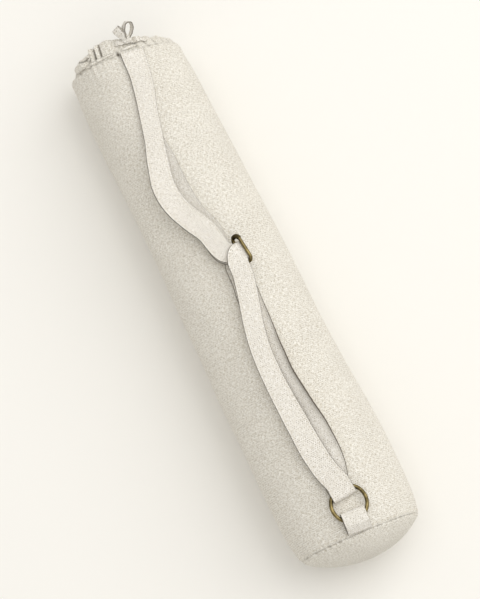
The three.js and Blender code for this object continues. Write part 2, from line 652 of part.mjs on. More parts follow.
const bag = new THREE.Group();
bag.name = 'yoga_mat_bag';
for (const [name, build, finish] of PIECES) {
  const mesh = new THREE.Mesh(build(), new THREE.MeshStandardMaterial(finish));
  mesh.name = name;
  bag.add(mesh);
}

// The origin is at the middle of the floor that the bag covers.
const box = new THREE.Box3().setFromObject(bag, true);
bag.position.set(-(box.min.x + box.max.x) / 2, -(box.min.y + box.max.y) / 2, 0);
bag.updateMatrixWorld(true);

export default bag;
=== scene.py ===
"""Looks of a cloth yoga mat bag that lies on its back with its strap side up.

Metres, +Z up. The bag's length runs along X: the mouth is at +X and the base at -X.
Around is in degrees from the bag's top towards its left, which is +Y.
"""

import logging  # noqa: E402
import math  # noqa: E402
from dataclasses import dataclass, field  # noqa: E402
from enum import Enum  # noqa: E402

import bpy  # noqa: E402
import numpy as np  # noqa: E402
from mathutils import Matrix, Vector  # noqa: E402


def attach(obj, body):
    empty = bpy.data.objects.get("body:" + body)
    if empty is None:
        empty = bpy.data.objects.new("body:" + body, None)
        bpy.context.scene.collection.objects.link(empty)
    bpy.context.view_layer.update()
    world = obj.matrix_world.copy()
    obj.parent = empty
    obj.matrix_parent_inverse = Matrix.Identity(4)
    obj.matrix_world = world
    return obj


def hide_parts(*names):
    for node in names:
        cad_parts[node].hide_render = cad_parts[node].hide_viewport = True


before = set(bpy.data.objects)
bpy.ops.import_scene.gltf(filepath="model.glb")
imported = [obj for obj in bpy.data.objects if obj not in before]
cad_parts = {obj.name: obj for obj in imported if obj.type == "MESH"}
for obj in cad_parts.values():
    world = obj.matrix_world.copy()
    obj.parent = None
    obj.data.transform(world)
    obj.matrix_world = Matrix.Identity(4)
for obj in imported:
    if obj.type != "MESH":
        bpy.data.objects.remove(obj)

LOG = logging.getLogger("yoga_mat_bag")
CLOTH_UV = "cloth_weave"
# point attribute of painted shade: how strongly the cloth is darkened in each crease and hollow and under
# strap edges, from 0 to 1
SHADE_ATTRIBUTE = "crease"
Rows = list[tuple[float, ...]]


class Slot(Enum):
    """The record's material slots."""

    CANVAS = "canvas"
    WEBBING = "webbing"
    BRASS = "brass"


def smooth_table(rows: Rows, column: int, at: np.ndarray) -> np.ndarray:
    """Reads smooth values between the rows of a table.

    Args:
        rows: Rows that rise in their first column.
        column: The column to read.
        at: Places in the first column.

    Returns:
        One value for each place, held at the table's ends.
    """
    table = np.array(rows, float)
    keys, values = table[:, 0], table[:, column]
    at = np.clip(np.asarray(at, float), keys[0], keys[-1])
    upper = np.clip(np.searchsorted(keys, at), 1, len(keys) - 1)
    lower = upper - 1
    before = np.maximum(upper - 2, 0)
    after = np.minimum(upper + 1, len(keys) - 1)
    span = keys[upper] - keys[lower]
    share = (at - keys[lower]) / span
    slope_from = (values[upper] - values[before]) / (keys[upper] - keys[before]) * span
    slope_to = (values[after] - values[lower]) / (keys[after] - keys[lower]) * span
    square, cube = share**2, share**3
    return (
        (2 * cube - 3 * square + 1) * values[lower]
        + (cube - 2 * square + share) * slope_from
        + (3 * square - 2 * cube) * values[upper]
        + (cube - square) * slope_to
    )


def hump(distance: np.ndarray, reach: float) -> np.ndarray:
    """A soft hump of height 1 whose reach is where it has fallen to about a third."""
    return np.exp(-((distance / reach) ** 2))


def wrapped(angle: np.ndarray) -> np.ndarray:
    """An angle in degrees between -180 and 180."""
    return (np.asarray(angle, float) + 180) % 360 - 180


def waves(around: np.ndarray, along: np.ndarray, counts: range, pitch: float, seed: int) -> np.ndarray:
    """Adds up soft waves that close on themselves round the bag.

    Args:
        around: Degrees round the bag.
        along: Distances along the bag.
        counts: How many waves go round the bag, one field for each.
        pitch: The shortest wave along the bag.
        seed: Picks the waves' phases and slants.

    Returns:
        A field of about -1 to 1.
    """
    random = np.random.default_rng(seed)
    total = np.zeros(np.broadcast(around, along).shape)
    for count in counts:
        phase, slant = random.uniform(0, 2 * math.pi), random.uniform(-1, 1)
        total = total + np.sin(count * np.radians(around) + slant * 2 * math.pi * along / pitch + phase)
    return total / math.sqrt(len(counts))


@dataclass(frozen=True)
class BagForm:
    """The sizes of the bag's round body, as its solids have them."""

    length: float = 0.639
    base_radius: float = 0.0813
    rim_radius: float = 0.0715
    base_crown: float = 0.028
    cloth: float = 0.002
    rest_flat: float = 0.006
    rest_blend: float = 0.002
    rim_skew: float = 0.1
    base_skew: float = 0.054
    dent_depth: float = 0.003
    rim_x: float = 0.31667
    middle_y: float = 0.00006
    # share of the length, share of the way from rim to base radius, rounding of the ends
    sections: tuple = (
        (0, 0, 0.921), (0.006, 0, 0.949), (0.028, 0, 0.967), (0.056, 0.01, 0.997), (0.1, 0.08, 1),
        (0.17, 0.15, 1), (0.25, 0.24, 1), (0.33, 0.32, 1), (0.42, 0.4, 1), (0.51, 0.49, 1),
        (0.6, 0.6, 1), (0.69, 0.78, 1), (0.77, 0.91, 1), (0.85, 1, 1), (0.91, 1, 0.994),
        (0.95, 1, 0.983), (0.975, 1, 0.964), (1, 1, 0.92),
    )
    # share of the length, degrees round, reach along, spread round in degrees, share of the depth
    dents: tuple = (
        (0.045, 50, 0.018, 24, 0.8), (0.3, 36, 0.1, 14, 0.6), (0.52, -38, 0.09, 20, 0.5),
        (0.62, 46, 0.11, 18, 0.7), (0.93, 26, 0.03, 9, 0.8), (0.9, -62, 0.05, 16, 0.5),
        (0.22, -76, 0.08, 22, 0.6), (0.4, 92, 0.1, 20, 0.7), (0.76, 104, 0.07, 18, 0.8),
        (0.7, -98, 0.09, 20, 0.7),
    )

    def section(self, distance: np.ndarray) -> tuple[np.ndarray, np.ndarray, np.ndarray, np.ndarray]:
        """Measures the bag across its length.

        Args:
            distance: Distances from the rim seam.

        Returns:
            The share of the length, the radius, the axis's height and the seam's slope there.
        """
        along = np.clip(np.asarray(distance, float) / self.length, 0, 1)
        taper = smooth_table(self.sections, 1, along)
        full = self.rim_radius + (self.base_radius - self.rim_radius) * taper
        radius = full * smooth_table(self.sections, 2, along)
        skew = self.rim_skew + (self.base_skew - self.rim_skew) * along
        return along, radius, full - self.rest_flat, skew

    def dent(self, along: np.ndarray, around: np.ndarray) -> np.ndarray:
        """Depth of the soft hollows in the body at shares of its length and degrees round it.

        Args:
            along: Shares of the body's length.
            around: Degrees round it.

        Returns:
            Depths.
        """
        total = np.zeros(np.broadcast(along, around).shape)
        for middle, turn, reach, spread, depth in self.dents:
            total = total + self.dent_depth * depth * hump(along - middle, reach) * hump(
                wrapped(around - turn), spread
            )
        return total

    def pressed(self, height: np.ndarray) -> np.ndarray:
        """Height of cloth that lies on the floor: flat below, untouched above."""
        eased = (height + self.rest_blend) ** 2 / (4 * self.rest_blend)
        return np.where(height <= -self.rest_blend, 0, np.where(height >= self.rest_blend, height, eased))

    def wall(self, distance: np.ndarray, around: np.ndarray, out: np.ndarray) -> np.ndarray:
        """Finds points of the bag's wall.

        Args:
            distance: Distances from the rim seam, which may lie past either seam.
            around: Degrees round the bag.
            out: How far the points lie outside the bag's outer face.

        Returns:
            Points as an array whose last axis is x, y, z.
        """
        along, radius, axis_height, skew = self.section(distance)
        reach = radius - self.dent(along, around) + out
        y = reach * np.sin(np.radians(around))
        lift = np.maximum(-np.asarray(out, float), 0)
        z = lift + self.pressed(axis_height + reach * np.cos(np.radians(around)) - lift)
        x = self.rim_x + skew * y - distance
        return np.stack(np.broadcast_arrays(x, y + self.middle_y, z), -1)

    def over(self, distance: float, right: float, height: float) -> Vector:
        """A point over the bag's cloth, as far to the right as it looks from above.

        Args:
            distance: From the rim seam.
            right: To the right of the top line.
            height: Above the cloth.

        Returns:
            The point.
        """
        along, radius, axis_height, skew = self.section(distance)
        around = math.degrees(math.asin(-right / (float(radius) + height)))
        reach = float(radius) - float(self.dent(along, np.array(around))) + height
        x = self.rim_x - float(skew) * right - distance
        return Vector((x, self.middle_y - right, float(axis_height) + math.sqrt(reach**2 - right**2)))

    def up(self, point: Vector) -> Vector:
        """The direction straight out of the bag at a point.

        Args:
            point: A point over the bag.

        Returns:
            A direction of length 1.
        """
        distance = min(max(self.rim_x - point.x, 0.0), self.length)
        axis_height = float(self.section(distance)[2])
        return Vector((0, point.y - self.middle_y, point.z - axis_height)).normalized()


@dataclass(frozen=True)
class LocalFrame:
    """A place on the bag with directions towards the base, to the right and up."""

    origin: Vector
    to_base: Vector
    to_right: Vector
    up: Vector

    @classmethod
    def over(cls, form: BagForm, distance: float, right: float, height: float, turn: float) -> "LocalFrame":
        """Lays a frame on the bag.

        Args:
            form: The bag.
            distance: From the rim seam.
            right: To the right of the top line.
            height: Above the cloth.
            turn: Degrees that the frame turns to the right.

        Returns:
            The frame.
        """
        origin = form.over(distance, right, height)
        step = 0.001
        ahead = form.over(distance + step, right, height) - form.over(distance - step, right, height)
        ahead.normalize()
        up = form.up(origin)
        up = (up - ahead * up.dot(ahead)).normalized()
        ahead = Matrix.Rotation(math.radians(turn), 3, up) @ ahead
        return cls(origin, ahead, up.cross(ahead), up)

    def at(self, along: float, right: float, up: float) -> Vector:
        """A point at distances along the frame's directions."""
        return self.origin + self.to_base * along + self.to_right * right + self.up * up


@dataclass
class ClothShell:
    """A closed surface laid out as rows of points, with a flat map of its cloth in metres."""

    points: np.ndarray
    map: np.ndarray
    rows_close: bool
    # painted shade for each point, from 0 to 1
    crease: np.ndarray | None = None

    def painted_shade(self) -> np.ndarray:
        """How strongly each vertex is painted with shade, from 0 to 1, in the order of arrays().

        Returns:
            One value for each vertex.
        """
        size = self.points.shape[:2]
        shade_depth = np.zeros(size) if self.crease is None else np.broadcast_to(self.crease, size)
        caps = [] if self.rows_close else [shade_depth[0].mean(), shade_depth[-1].mean()]
        return np.clip(np.concatenate([shade_depth.ravel(), caps]), 0, 1)

    def arrays(self) -> tuple[np.ndarray, np.ndarray, np.ndarray]:
        """Makes the shell's corners, faces and face maps.

        Returns:
            Vertices, faces as vertex numbers, with triangles padded by -1, and a map of each corner.
        """
        rows, columns, _ = self.points.shape
        vertices = self.points.reshape(-1, 3)
        first = np.arange(rows if self.rows_close else rows - 1)
        second = (first + 1) % rows
        left, plus = np.arange(columns), np.arange(columns) + 1
        right = plus % columns

        def vertex(row: np.ndarray, column: np.ndarray) -> np.ndarray:
            """Vertex numbers where rows and columns cross."""
            return (row[:, None] * columns + column[None, :]).ravel()

        def place(row: np.ndarray, column: np.ndarray) -> np.ndarray:
            """Places on the cloth's map where rows and columns cross."""
            return self.map[row[:, None], column[None, :]].reshape(-1, 2)

        faces = np.stack(
            [vertex(first, left), vertex(second, left), vertex(second, right), vertex(first, right)], 1
        )
        corners = np.stack(
            [place(first, left), place(second, left), place(second, plus), place(first, plus)], 1
        )
        if not self.rows_close:
            caps, cap_maps, centres = [], [], []
            for row, flip in ((0, False), (rows - 1, True)):
                centre = len(vertices) + len(centres)
                centres.append(self.points[row].mean(0))
                ring = np.stack([row * columns + left, row * columns + right], 1)
                ring_map = np.stack([self.map[row, :-1], self.map[row, 1:]], 1)
                if flip:
                    ring, ring_map = ring[:, ::-1], ring_map[:, ::-1]
                caps.append(np.column_stack([ring, np.full(columns, centre), np.full(columns, -1)]))
                third = np.broadcast_to(self.map[row].mean(0), (columns, 1, 2))
                cap_maps.append(np.concatenate([ring_map, third, third], 1))
            vertices = np.vstack([vertices, np.array(centres)])
            faces = np.vstack([faces, *caps])
            corners = np.vstack([corners, *cap_maps])
        return vertices, faces, corners


def placed(name: str, data: bpy.types.ID) -> bpy.types.Object:
    """Makes an object of a mesh, a lamp or a camera and puts it into the scene.

    Args:
        name: The object's name.
        data: Its mesh, lamp or camera.

    Returns:
        The object.
    """
    made = bpy.data.objects.new(name, data)
    bpy.context.scene.collection.objects.link(made)
    return made


def mesh_piece(name: str, shells: list[ClothShell], material: bpy.types.Material) -> bpy.types.Object:
    """Makes one smooth object of closed shells, with its faces outwards.

    Args:
        name: The object's name.
        shells: The surfaces in it.
        material: Its finish.

    Returns:
        The object, at the origin.
    """
    all_vertices, all_faces, all_maps, offset = [], [], [], 0
    for shell in shells:
        vertices, faces, maps = shell.arrays()
        a, b, c = (vertices[faces[:, k]] for k in range(3))
        d = np.where((faces[:, 3] >= 0)[:, None], vertices[np.maximum(faces[:, 3], 0)], a)
        volume = (a * np.cross(b, c)).sum() + (a * np.cross(c, d)).sum()
        if volume < 0:
            quad = faces[:, 3] >= 0
            faces[quad], maps[quad] = faces[quad][:, ::-1], maps[quad][:, ::-1]
            fan = ~quad
            faces[fan, :3], maps[fan, :3] = faces[fan][:, 2::-1], maps[fan][:, 2::-1]
        all_vertices.append(vertices)
        all_faces.append(np.where(faces >= 0, faces + offset, -1))
        all_maps.append(maps)
        offset += len(vertices)
    vertices, faces, maps = np.vstack(all_vertices), np.vstack(all_faces), np.vstack(all_maps)
    used = faces >= 0
    mesh = bpy.data.meshes.new(name)
    mesh.vertices.add(len(vertices))
    mesh.vertices.foreach_set("co", vertices.astype(np.float32).ravel())
    counts = used.sum(1)
    mesh.loops.add(int(counts.sum()))
    mesh.loops.foreach_set("vertex_index", faces[used].astype(np.int32))
    mesh.polygons.add(len(faces))
    mesh.polygons.foreach_set("loop_start", np.concatenate([[0], np.cumsum(counts)[:-1]]).astype(np.int32))
    mesh.polygons.foreach_set("use_smooth", np.ones(len(faces), bool))
    # the painted shade goes onto the mesh as a point attribute
    shade_depth = mesh.attributes.new(SHADE_ATTRIBUTE, "FLOAT", "POINT")
    shade_depth.data.foreach_set("value", np.concatenate([shell.painted_shade() for shell in shells]).astype(np.float32))
    layer = mesh.uv_layers.new(name=CLOTH_UV)
    layer.uv.foreach_set("vector", maps[used].astype(np.float32).ravel())
    mesh.update(calc_edges=True)
    mesh.validate()
    mesh.materials.append(material)
    return placed(name, mesh)


def polyline_object(name: str, lines: list[list[Vector]], closed: bool) -> bpy.types.Object:
    """Makes an object of bare edges that follow lines of points.

    Args:
        name: The object's name.
        lines: The lines' points.
        closed: Whether each line joins its own start.

    Returns:
        The object.
    """
    points, edges = [], []
    for line in lines:
        start = len(points)
        points += [tuple(p) for p in line]
        count = len(line)
        last = count if closed else count - 1
        edges += [(start + i, start + (i + 1) % count) for i in range(last)]
    mesh = bpy.data.meshes.new(name)
    mesh.from_pydata(points, edges, [])
    return placed(name, mesh)


def smooth_line(points: list[Vector], steps: int) -> list[Vector]:
    """Runs a centripetal curve through points.

    Args:
        points: The points that the curve goes through.
        steps: Pieces between one point and the next.

    Returns:
        Points of the curve, with the first and last of those given.
    """
    ends = [points[0] * 2 - points[1], *points, points[-1] * 2 - points[-2]]
    line = []
    for i in range(1, len(ends) - 2):
        p0, p1, p2, p3 = ends[i - 1 : i + 3]
        d0, d1, d2 = (max((b - a).length, 1e-9) ** 0.5 for a, b in ((p0, p1), (p1, p2), (p2, p3)))
        t1 = ((p1 - p0) / d0 - (p2 - p0) / (d0 + d1) + (p2 - p1) / d1) * d1
        t2 = ((p2 - p1) / d1 - (p3 - p1) / (d1 + d2) + (p3 - p2) / d2) * d1
        for k in range(steps):
            s = k / steps
            square, cube = s * s, s * s * s
            line.append(
                p1 * (2 * cube - 3 * square + 1)
                + t1 * (cube - 2 * square + s)
                + p2 * (3 * square - 2 * cube)
                + t2 * (cube - square)
            )
    return [*line, points[-1].copy()]


class NodeWriter:
    """Writes nodes into a tree, one line for each."""

    def __init__(self, tree: bpy.types.NodeTree) -> None:
        """Keeps the tree that the nodes go into."""
        self.tree = tree

    def add(self, kind: str, inputs: dict | None = None, **settings: object) -> bpy.types.Node:
        """Adds a node.

        Args:
            kind: Blender's name of the node type.
            inputs: Values or output sockets for input sockets, by name or number.
            settings: The node's own settings.

        Returns:
            The node.
        """
        node = self.tree.nodes.new(kind)
        for key, value in settings.items():
            setattr(node, key, value)
        for key, value in (inputs or {}).items():
            socket = node.inputs[key]
            if isinstance(value, bpy.types.NodeSocket):
                self.tree.links.new(value, socket)
            else:
                socket.default_value = value
        return node

    def math(self, operation: str, first: object, second: object = 0.0) -> bpy.types.NodeSocket:
        """Adds a Math node and returns its value."""
        return self.add("ShaderNodeMath", {0: first, 1: second}, operation=operation).outputs[0]

    def blend(self, factor: object, first: object, second: object) -> bpy.types.NodeSocket:
        """Adds a colour mix, whose colours are its inputs 6 and 7, and returns its colour."""
        return self.add("ShaderNodeMix", {0: factor, 6: first, 7: second}, data_type="RGBA").outputs[2]

    def noise(self, place: bpy.types.NodeSocket, scale: float, detail: float) -> bpy.types.NodeOutputs:
        """Adds a noise and returns its outputs, of which the first is a value and "Color" a vector."""
        return self.add("ShaderNodeTexNoise", {"Vector": place, "Scale": scale, "Detail": detail}).outputs

    def ramp(
        self, value: object, between: tuple[float, float], to: tuple[float, float] = (0.0, 1.0)
    ) -> bpy.types.NodeSocket:
        """Adds a node that spreads one range of values over another.

        Args:
            value: The value.
            between: The range that it is read in.
            to: What it becomes at that range's ends.

        Returns:
            The new value.
        """
        inputs = {"From Min": between[0], "From Max": between[1], "To Min": to[0], "To Max": to[1]}
        return self.add("ShaderNodeMapRange", {"Value": value, **inputs}).outputs[0]


def srgb(red: int, green: int, blue: int) -> tuple[float, float, float, float]:
    """A colour from its 0 to 255 screen values."""
    linear = [((c / 255 + 0.055) / 1.055) ** 2.4 if c > 10 else c / 255 / 12.92 for c in (red, green, blue)]
    return (*linear, 1.0)


def new_group(name: str, kind: str, inputs: dict, outputs: dict) -> tuple[bpy.types.NodeTree, NodeWriter]:
    """Starts a node group with named sockets.

    Args:
        name: The group's name.
        kind: Its tree type.
        inputs: Name to (socket type, default value).
        outputs: Name to socket type.

    Returns:
        The group and a writer for it.
    """
    tree = bpy.data.node_groups.new(name, kind)
    for label, (socket_type, default) in inputs.items():
        socket = tree.interface.new_socket(label, in_out="INPUT", socket_type=socket_type)
        if default is not None:
            socket.default_value = default
    for label, socket_type in outputs.items():
        tree.interface.new_socket(label, in_out="OUTPUT", socket_type=socket_type)
    return tree, NodeWriter(tree)


@dataclass
class WovenCloth:
    """The weave that every cloth of the bag shares, as a node group."""

    group: bpy.types.NodeTree = field(init=False)
    thread_stray: float = 0.0022
    # the core and the edge of a pit, as shares of the pitch
    pit_edge: tuple[float, float] = (0.14, 0.34)
    pit_regions: float = 1.6
    pit_chance: tuple[float, float] = (1.0, 1.55)
    fleck_edge: tuple[float, float] = (0.6, 0.7)
    middle_tone: float = 0.7
    thread_tone: float = 0.16
    weave_tone: float = 0.06
    slub_height: float = 0.9
    weave_height: float = 0.3
    pit_depth: float = 0.9
    threads_per_pit: float = 2.5

    def __post_init__(self) -> None:
        """Builds the group."""
        self.group, writer = new_group(
            "woven_cloth",
            "ShaderNodeTree",
            {
                "Map": ("NodeSocketVector", None),
                "Thread Pitch": ("NodeSocketFloat", 0.0023),
                "Slub": ("NodeSocketFloat", 1.0),
                "Pits": ("NodeSocketFloat", 0.6),
                "Flecks": ("NodeSocketFloat", 0.5),
            },
            {
                "Tone": "NodeSocketFloat", "Pit": "NodeSocketFloat", "Fleck": "NodeSocketFloat",
                "Relief": "NodeSocketFloat",
            },
        )
        self.write(writer)

    def write(self, writer: NodeWriter) -> None:
        """Writes the threads, the pits between them, the slubs and the flecks into the group.

        Args:
            writer: The group's writer.
        """
        start = writer.add("NodeGroupInput").outputs
        end = writer.add("NodeGroupOutput")
        stray = writer.noise(start["Map"], 240.0, 2.0)["Color"]
        offset = writer.add("ShaderNodeVectorMath", {0: stray, 1: (0.5, 0.5, 0.5)}, operation="SUBTRACT")
        shift = writer.add("ShaderNodeVectorMath", {0: offset.outputs[0]}, operation="SCALE")
        shift.inputs["Scale"].default_value = self.thread_stray
        place = writer.add("ShaderNodeVectorMath", {0: start["Map"], 1: shift.outputs[0]}, operation="ADD")
        parts = writer.add("ShaderNodeSeparateXYZ", {0: place.outputs[0]}).outputs
        round_cell = writer.math("DIVIDE", parts[0], start["Thread Pitch"])
        along_cell = writer.math("DIVIDE", parts[1], start["Thread Pitch"])
        row = writer.math("FLOOR", along_cell)
        brick = writer.math("ADD", round_cell, writer.math("MULTIPLY", row, 0.5))
        cell = writer.add("ShaderNodeCombineXYZ", {0: writer.math("FLOOR", brick), 1: row})
        chance = writer.add("ShaderNodeTexWhiteNoise", {"Vector": cell.outputs[0]}, noise_dimensions="2D")
        across = writer.math("SUBTRACT", writer.math("FRACT", brick), 0.5)
        along = writer.math("SUBTRACT", writer.math("FRACT", along_cell), 0.5)
        squares = (writer.math("MULTIPLY", side, side) for side in (across, along))
        reach = writer.math("SQRT", writer.math("ADD", *squares))
        pit = writer.ramp(reach, self.pit_edge, (1.0, 0.0))
        region = writer.math("MULTIPLY", writer.noise(start["Map"], 26.0, 3.0)[0], self.pit_regions)
        shown = writer.ramp(writer.math("ADD", chance.outputs[0], region), self.pit_chance)
        dark = writer.math("MULTIPLY", writer.math("MULTIPLY", pit, shown), start["Pits"])
        slub = self.slub(writer, start["Map"])
        uneven = writer.math("MULTIPLY", writer.math("SUBTRACT", slub, 0.5), start["Slub"])
        lone = writer.math("SUBTRACT", chance.outputs[0], 0.5)
        thread = writer.math("MULTIPLY", lone, self.thread_tone)
        over = self.over_under(writer, parts, start["Thread Pitch"])
        woven = writer.math("MULTIPLY", over, self.weave_tone)
        tone = writer.math("ADD", writer.math("ADD", uneven, thread), woven)
        clamped = writer.add("ShaderNodeClamp", {0: writer.math("ADD", tone, self.middle_tone)}).outputs[0]
        spots = writer.ramp(writer.noise(start["Map"], 420.0, 2.0)[0], self.fleck_edge)
        fleck = writer.math("MULTIPLY", spots, start["Flecks"])
        threads = writer.math("MULTIPLY", over, self.weave_height)
        raised = writer.math("ADD", writer.math("MULTIPLY", slub, self.slub_height), threads)
        relief = writer.math("SUBTRACT", raised, writer.math("MULTIPLY", dark, self.pit_depth))
        for label, value in (("Tone", clamped), ("Pit", dark), ("Fleck", fleck), ("Relief", relief)):
            writer.tree.links.new(value, end.inputs[label])

    def over_under(
        self, writer: NodeWriter, parts: object, pitch: bpy.types.NodeSocket
    ) -> bpy.types.NodeSocket:
        """Adds the plain weave's threads, which pass over and under each other.

        Args:
            writer: The group's writer.
            parts: The cloth's map, as the outputs of a node that separates it.
            pitch: The distance from one pit to the next.

        Returns:
            A value of -1 to 1.
        """
        turn = writer.math("DIVIDE", self.threads_per_pit * 2 * math.pi, pitch)
        both = (writer.math("SINE", writer.math("MULTIPLY", parts[axis], turn)) for axis in (0, 1))
        return writer.math("MULTIPLY", *both)

    @staticmethod
    def slub(writer: NodeWriter, place: bpy.types.NodeSocket) -> bpy.types.NodeSocket:
        """Adds the uneven thickness of threads both ways.

        Args:
            writer: The group's writer.
            place: The cloth's map.

        Returns:
            A value of about 0 to 1, spread well round 0.5.
        """
        found = []
        for stretch in ((260.0, 900.0, 1.0), (900.0, 260.0, 1.0)):
            spread = writer.add("ShaderNodeVectorMath", {0: place, 1: stretch}, operation="MULTIPLY")
            found.append(writer.noise(spread.outputs[0], 1.0, 1.0)[0])
        total = writer.math("SUBTRACT", writer.math("ADD", *found), 1.0)
        return writer.math("ADD", writer.math("MULTIPLY", total, 1.7), 0.5)


@dataclass(frozen=True)
class ClothFinish:
    """A heathered linen look: two tones of thread, darker pits, flecks, painted shade from a point
    attribute, and a raised weave.
    """

    name: str
    light: tuple[float, float, float, float]
    dark: tuple[float, float, float, float]
    fleck: tuple[float, float, float, float]
    pitch: float
    slub: float
    pits: float
    flecks: float
    relief: float
    # colour of the painted shade
    crease: tuple[float, float, float, float] = srgb(66, 54, 36)
    mapped: bool = True
    worn: float = 0.16
    thread_height: float = 0.0006
    roughness: float = 0.92
    gloss: float = 0.25
    sheen: float = 0.15
    sheen_spread: float = 0.6

    def material(self, weave: WovenCloth) -> bpy.types.Material:
        """Makes the material.

        Args:
            weave: The shared weave group.

        Returns:
            The material, which reads the piece's cloth map, or object coordinates where it has none.
        """
        made = bpy.data.materials.new(self.name)
        made.use_nodes = True
        tree = made.node_tree
        tree.nodes.clear()
        writer = NodeWriter(tree)
        if self.mapped:
            place = writer.add("ShaderNodeUVMap", uv_map=CLOTH_UV).outputs[0]
        else:
            place = writer.add("ShaderNodeTexCoord").outputs["Object"]
        values = {
            "Map": place, "Thread Pitch": self.pitch, "Slub": self.slub,
            "Pits": self.pits, "Flecks": self.flecks,
        }
        cloth = writer.add("ShaderNodeGroup", values, node_tree=weave.group).outputs
        patch = writer.noise(place, 22.0, 3.0)[0]
        thread = writer.blend(cloth["Tone"], self.dark, self.light)
        pitted = writer.blend(cloth["Pit"], thread, self.fleck)
        spotted = writer.blend(cloth["Fleck"], pitted, self.fleck)
        worn = writer.math("MULTIPLY", writer.math("SUBTRACT", patch, 0.35), self.worn)
        plain = writer.blend(worn, spotted, self.dark)
        # painted shade: the attribute darkens the cloth towards the crease colour
        shade_depth = writer.add("ShaderNodeAttribute", attribute_name=SHADE_ATTRIBUTE).outputs["Fac"]
        colour = writer.blend(shade_depth, plain, self.crease)
        bump = writer.add(
            "ShaderNodeBump",
            {"Strength": self.relief, "Distance": self.thread_height, "Height": cloth["Relief"]},
        )
        shader = writer.add("ShaderNodeBsdfPrincipled", {
            "Base Color": colour, "Roughness": self.roughness, "Normal": bump.outputs[0],
            "Specular IOR Level": self.gloss, "Sheen Weight": self.sheen,
            "Sheen Roughness": self.sheen_spread,
        })
        writer.add("ShaderNodeOutputMaterial", {"Surface": shader.outputs[0]})
        return made


@dataclass(frozen=True)
class BrassFinish:
    """Antique brass: dark, with patches rubbed bright where a noise is high."""

    name: str = "antique_brass"
    bright: tuple[float, float, float, float] = srgb(154, 138, 94)
    dark: tuple[float, float, float, float] = srgb(58, 50, 30)
    rubbed_at: tuple[float, float] = (0.35, 0.65)
    rubbed_share: tuple[float, float] = (0.15, 0.9)
    roughness: float = 0.22
    roughness_spread: float = 0.22
    scratch_strength: float = 0.12
    scratch_depth: float = 0.0002

    def material(self) -> bpy.types.Material:
        """Makes the material, which reads object coordinates.

        Returns:
            The material.
        """
        made = bpy.data.materials.new(self.name)
        made.use_nodes = True
        tree = made.node_tree
        tree.nodes.clear()
        writer = NodeWriter(tree)
        place = writer.add("ShaderNodeTexCoord").outputs["Object"]
        rubbed = writer.noise(place, 150.0, 4.0)[0]
        scratches = writer.noise(place, 900.0, 2.0)[0]
        share = writer.ramp(rubbed, self.rubbed_at, self.rubbed_share)
        colour = writer.blend(share, self.dark, self.bright)
        uneven = writer.math("MULTIPLY", scratches, self.roughness_spread)
        rough = writer.math("ADD", uneven, self.roughness)
        bump = writer.add(
            "ShaderNodeBump",
            {"Strength": self.scratch_strength, "Distance": self.scratch_depth, "Height": scratches},
        )
        shader = writer.add(
            "ShaderNodeBsdfPrincipled",
            {"Base Color": colour, "Roughness": rough, "Normal": bump.outputs[0], "Metallic": 1.0},
        )
        writer.add("ShaderNodeOutputMaterial", {"Surface": shader.outputs[0]})
        return made


@dataclass
class Finishes:
    """Every finish of the bag."""

    canvas: bpy.types.Material
    webbing: bpy.types.Material
    thread: bpy.types.Material
    brass: bpy.types.Material
    dark_brass: bpy.types.Material

    @classmethod
    def make(cls) -> "Finishes":
        """Builds the weave once and the four materials.

        Returns:
            The finishes.
        """
        weave = WovenCloth()
        pit, shade = srgb(116, 102, 76), srgb(184, 174, 153)
        canvas = ClothFinish(
            "heathered_canvas", srgb(250, 247, 239), shade, pit,
            pitch=0.0024, slub=0.85, pits=0.5, flecks=0.3, relief=0.55,
        )
        webbing = ClothFinish(
            "strap_cloth", srgb(253, 250, 244), shade, pit,
            pitch=0.0022, slub=0.5, pits=0.62, flecks=0.25, relief=0.45,
        )
        thread = ClothFinish(
            "sewing_thread", srgb(232, 225, 210), srgb(196, 185, 162), pit,
            pitch=0.0008, slub=0.4, pits=0.2, flecks=0.1, relief=0.3, mapped=False,
        )
        dark_brass = BrassFinish("dark_brass", srgb(92, 82, 54), srgb(40, 34, 22))
        cloths = (finish.material(weave) for finish in (canvas, webbing, thread))
        return cls(*cloths, BrassFinish().material(), dark_brass.material())


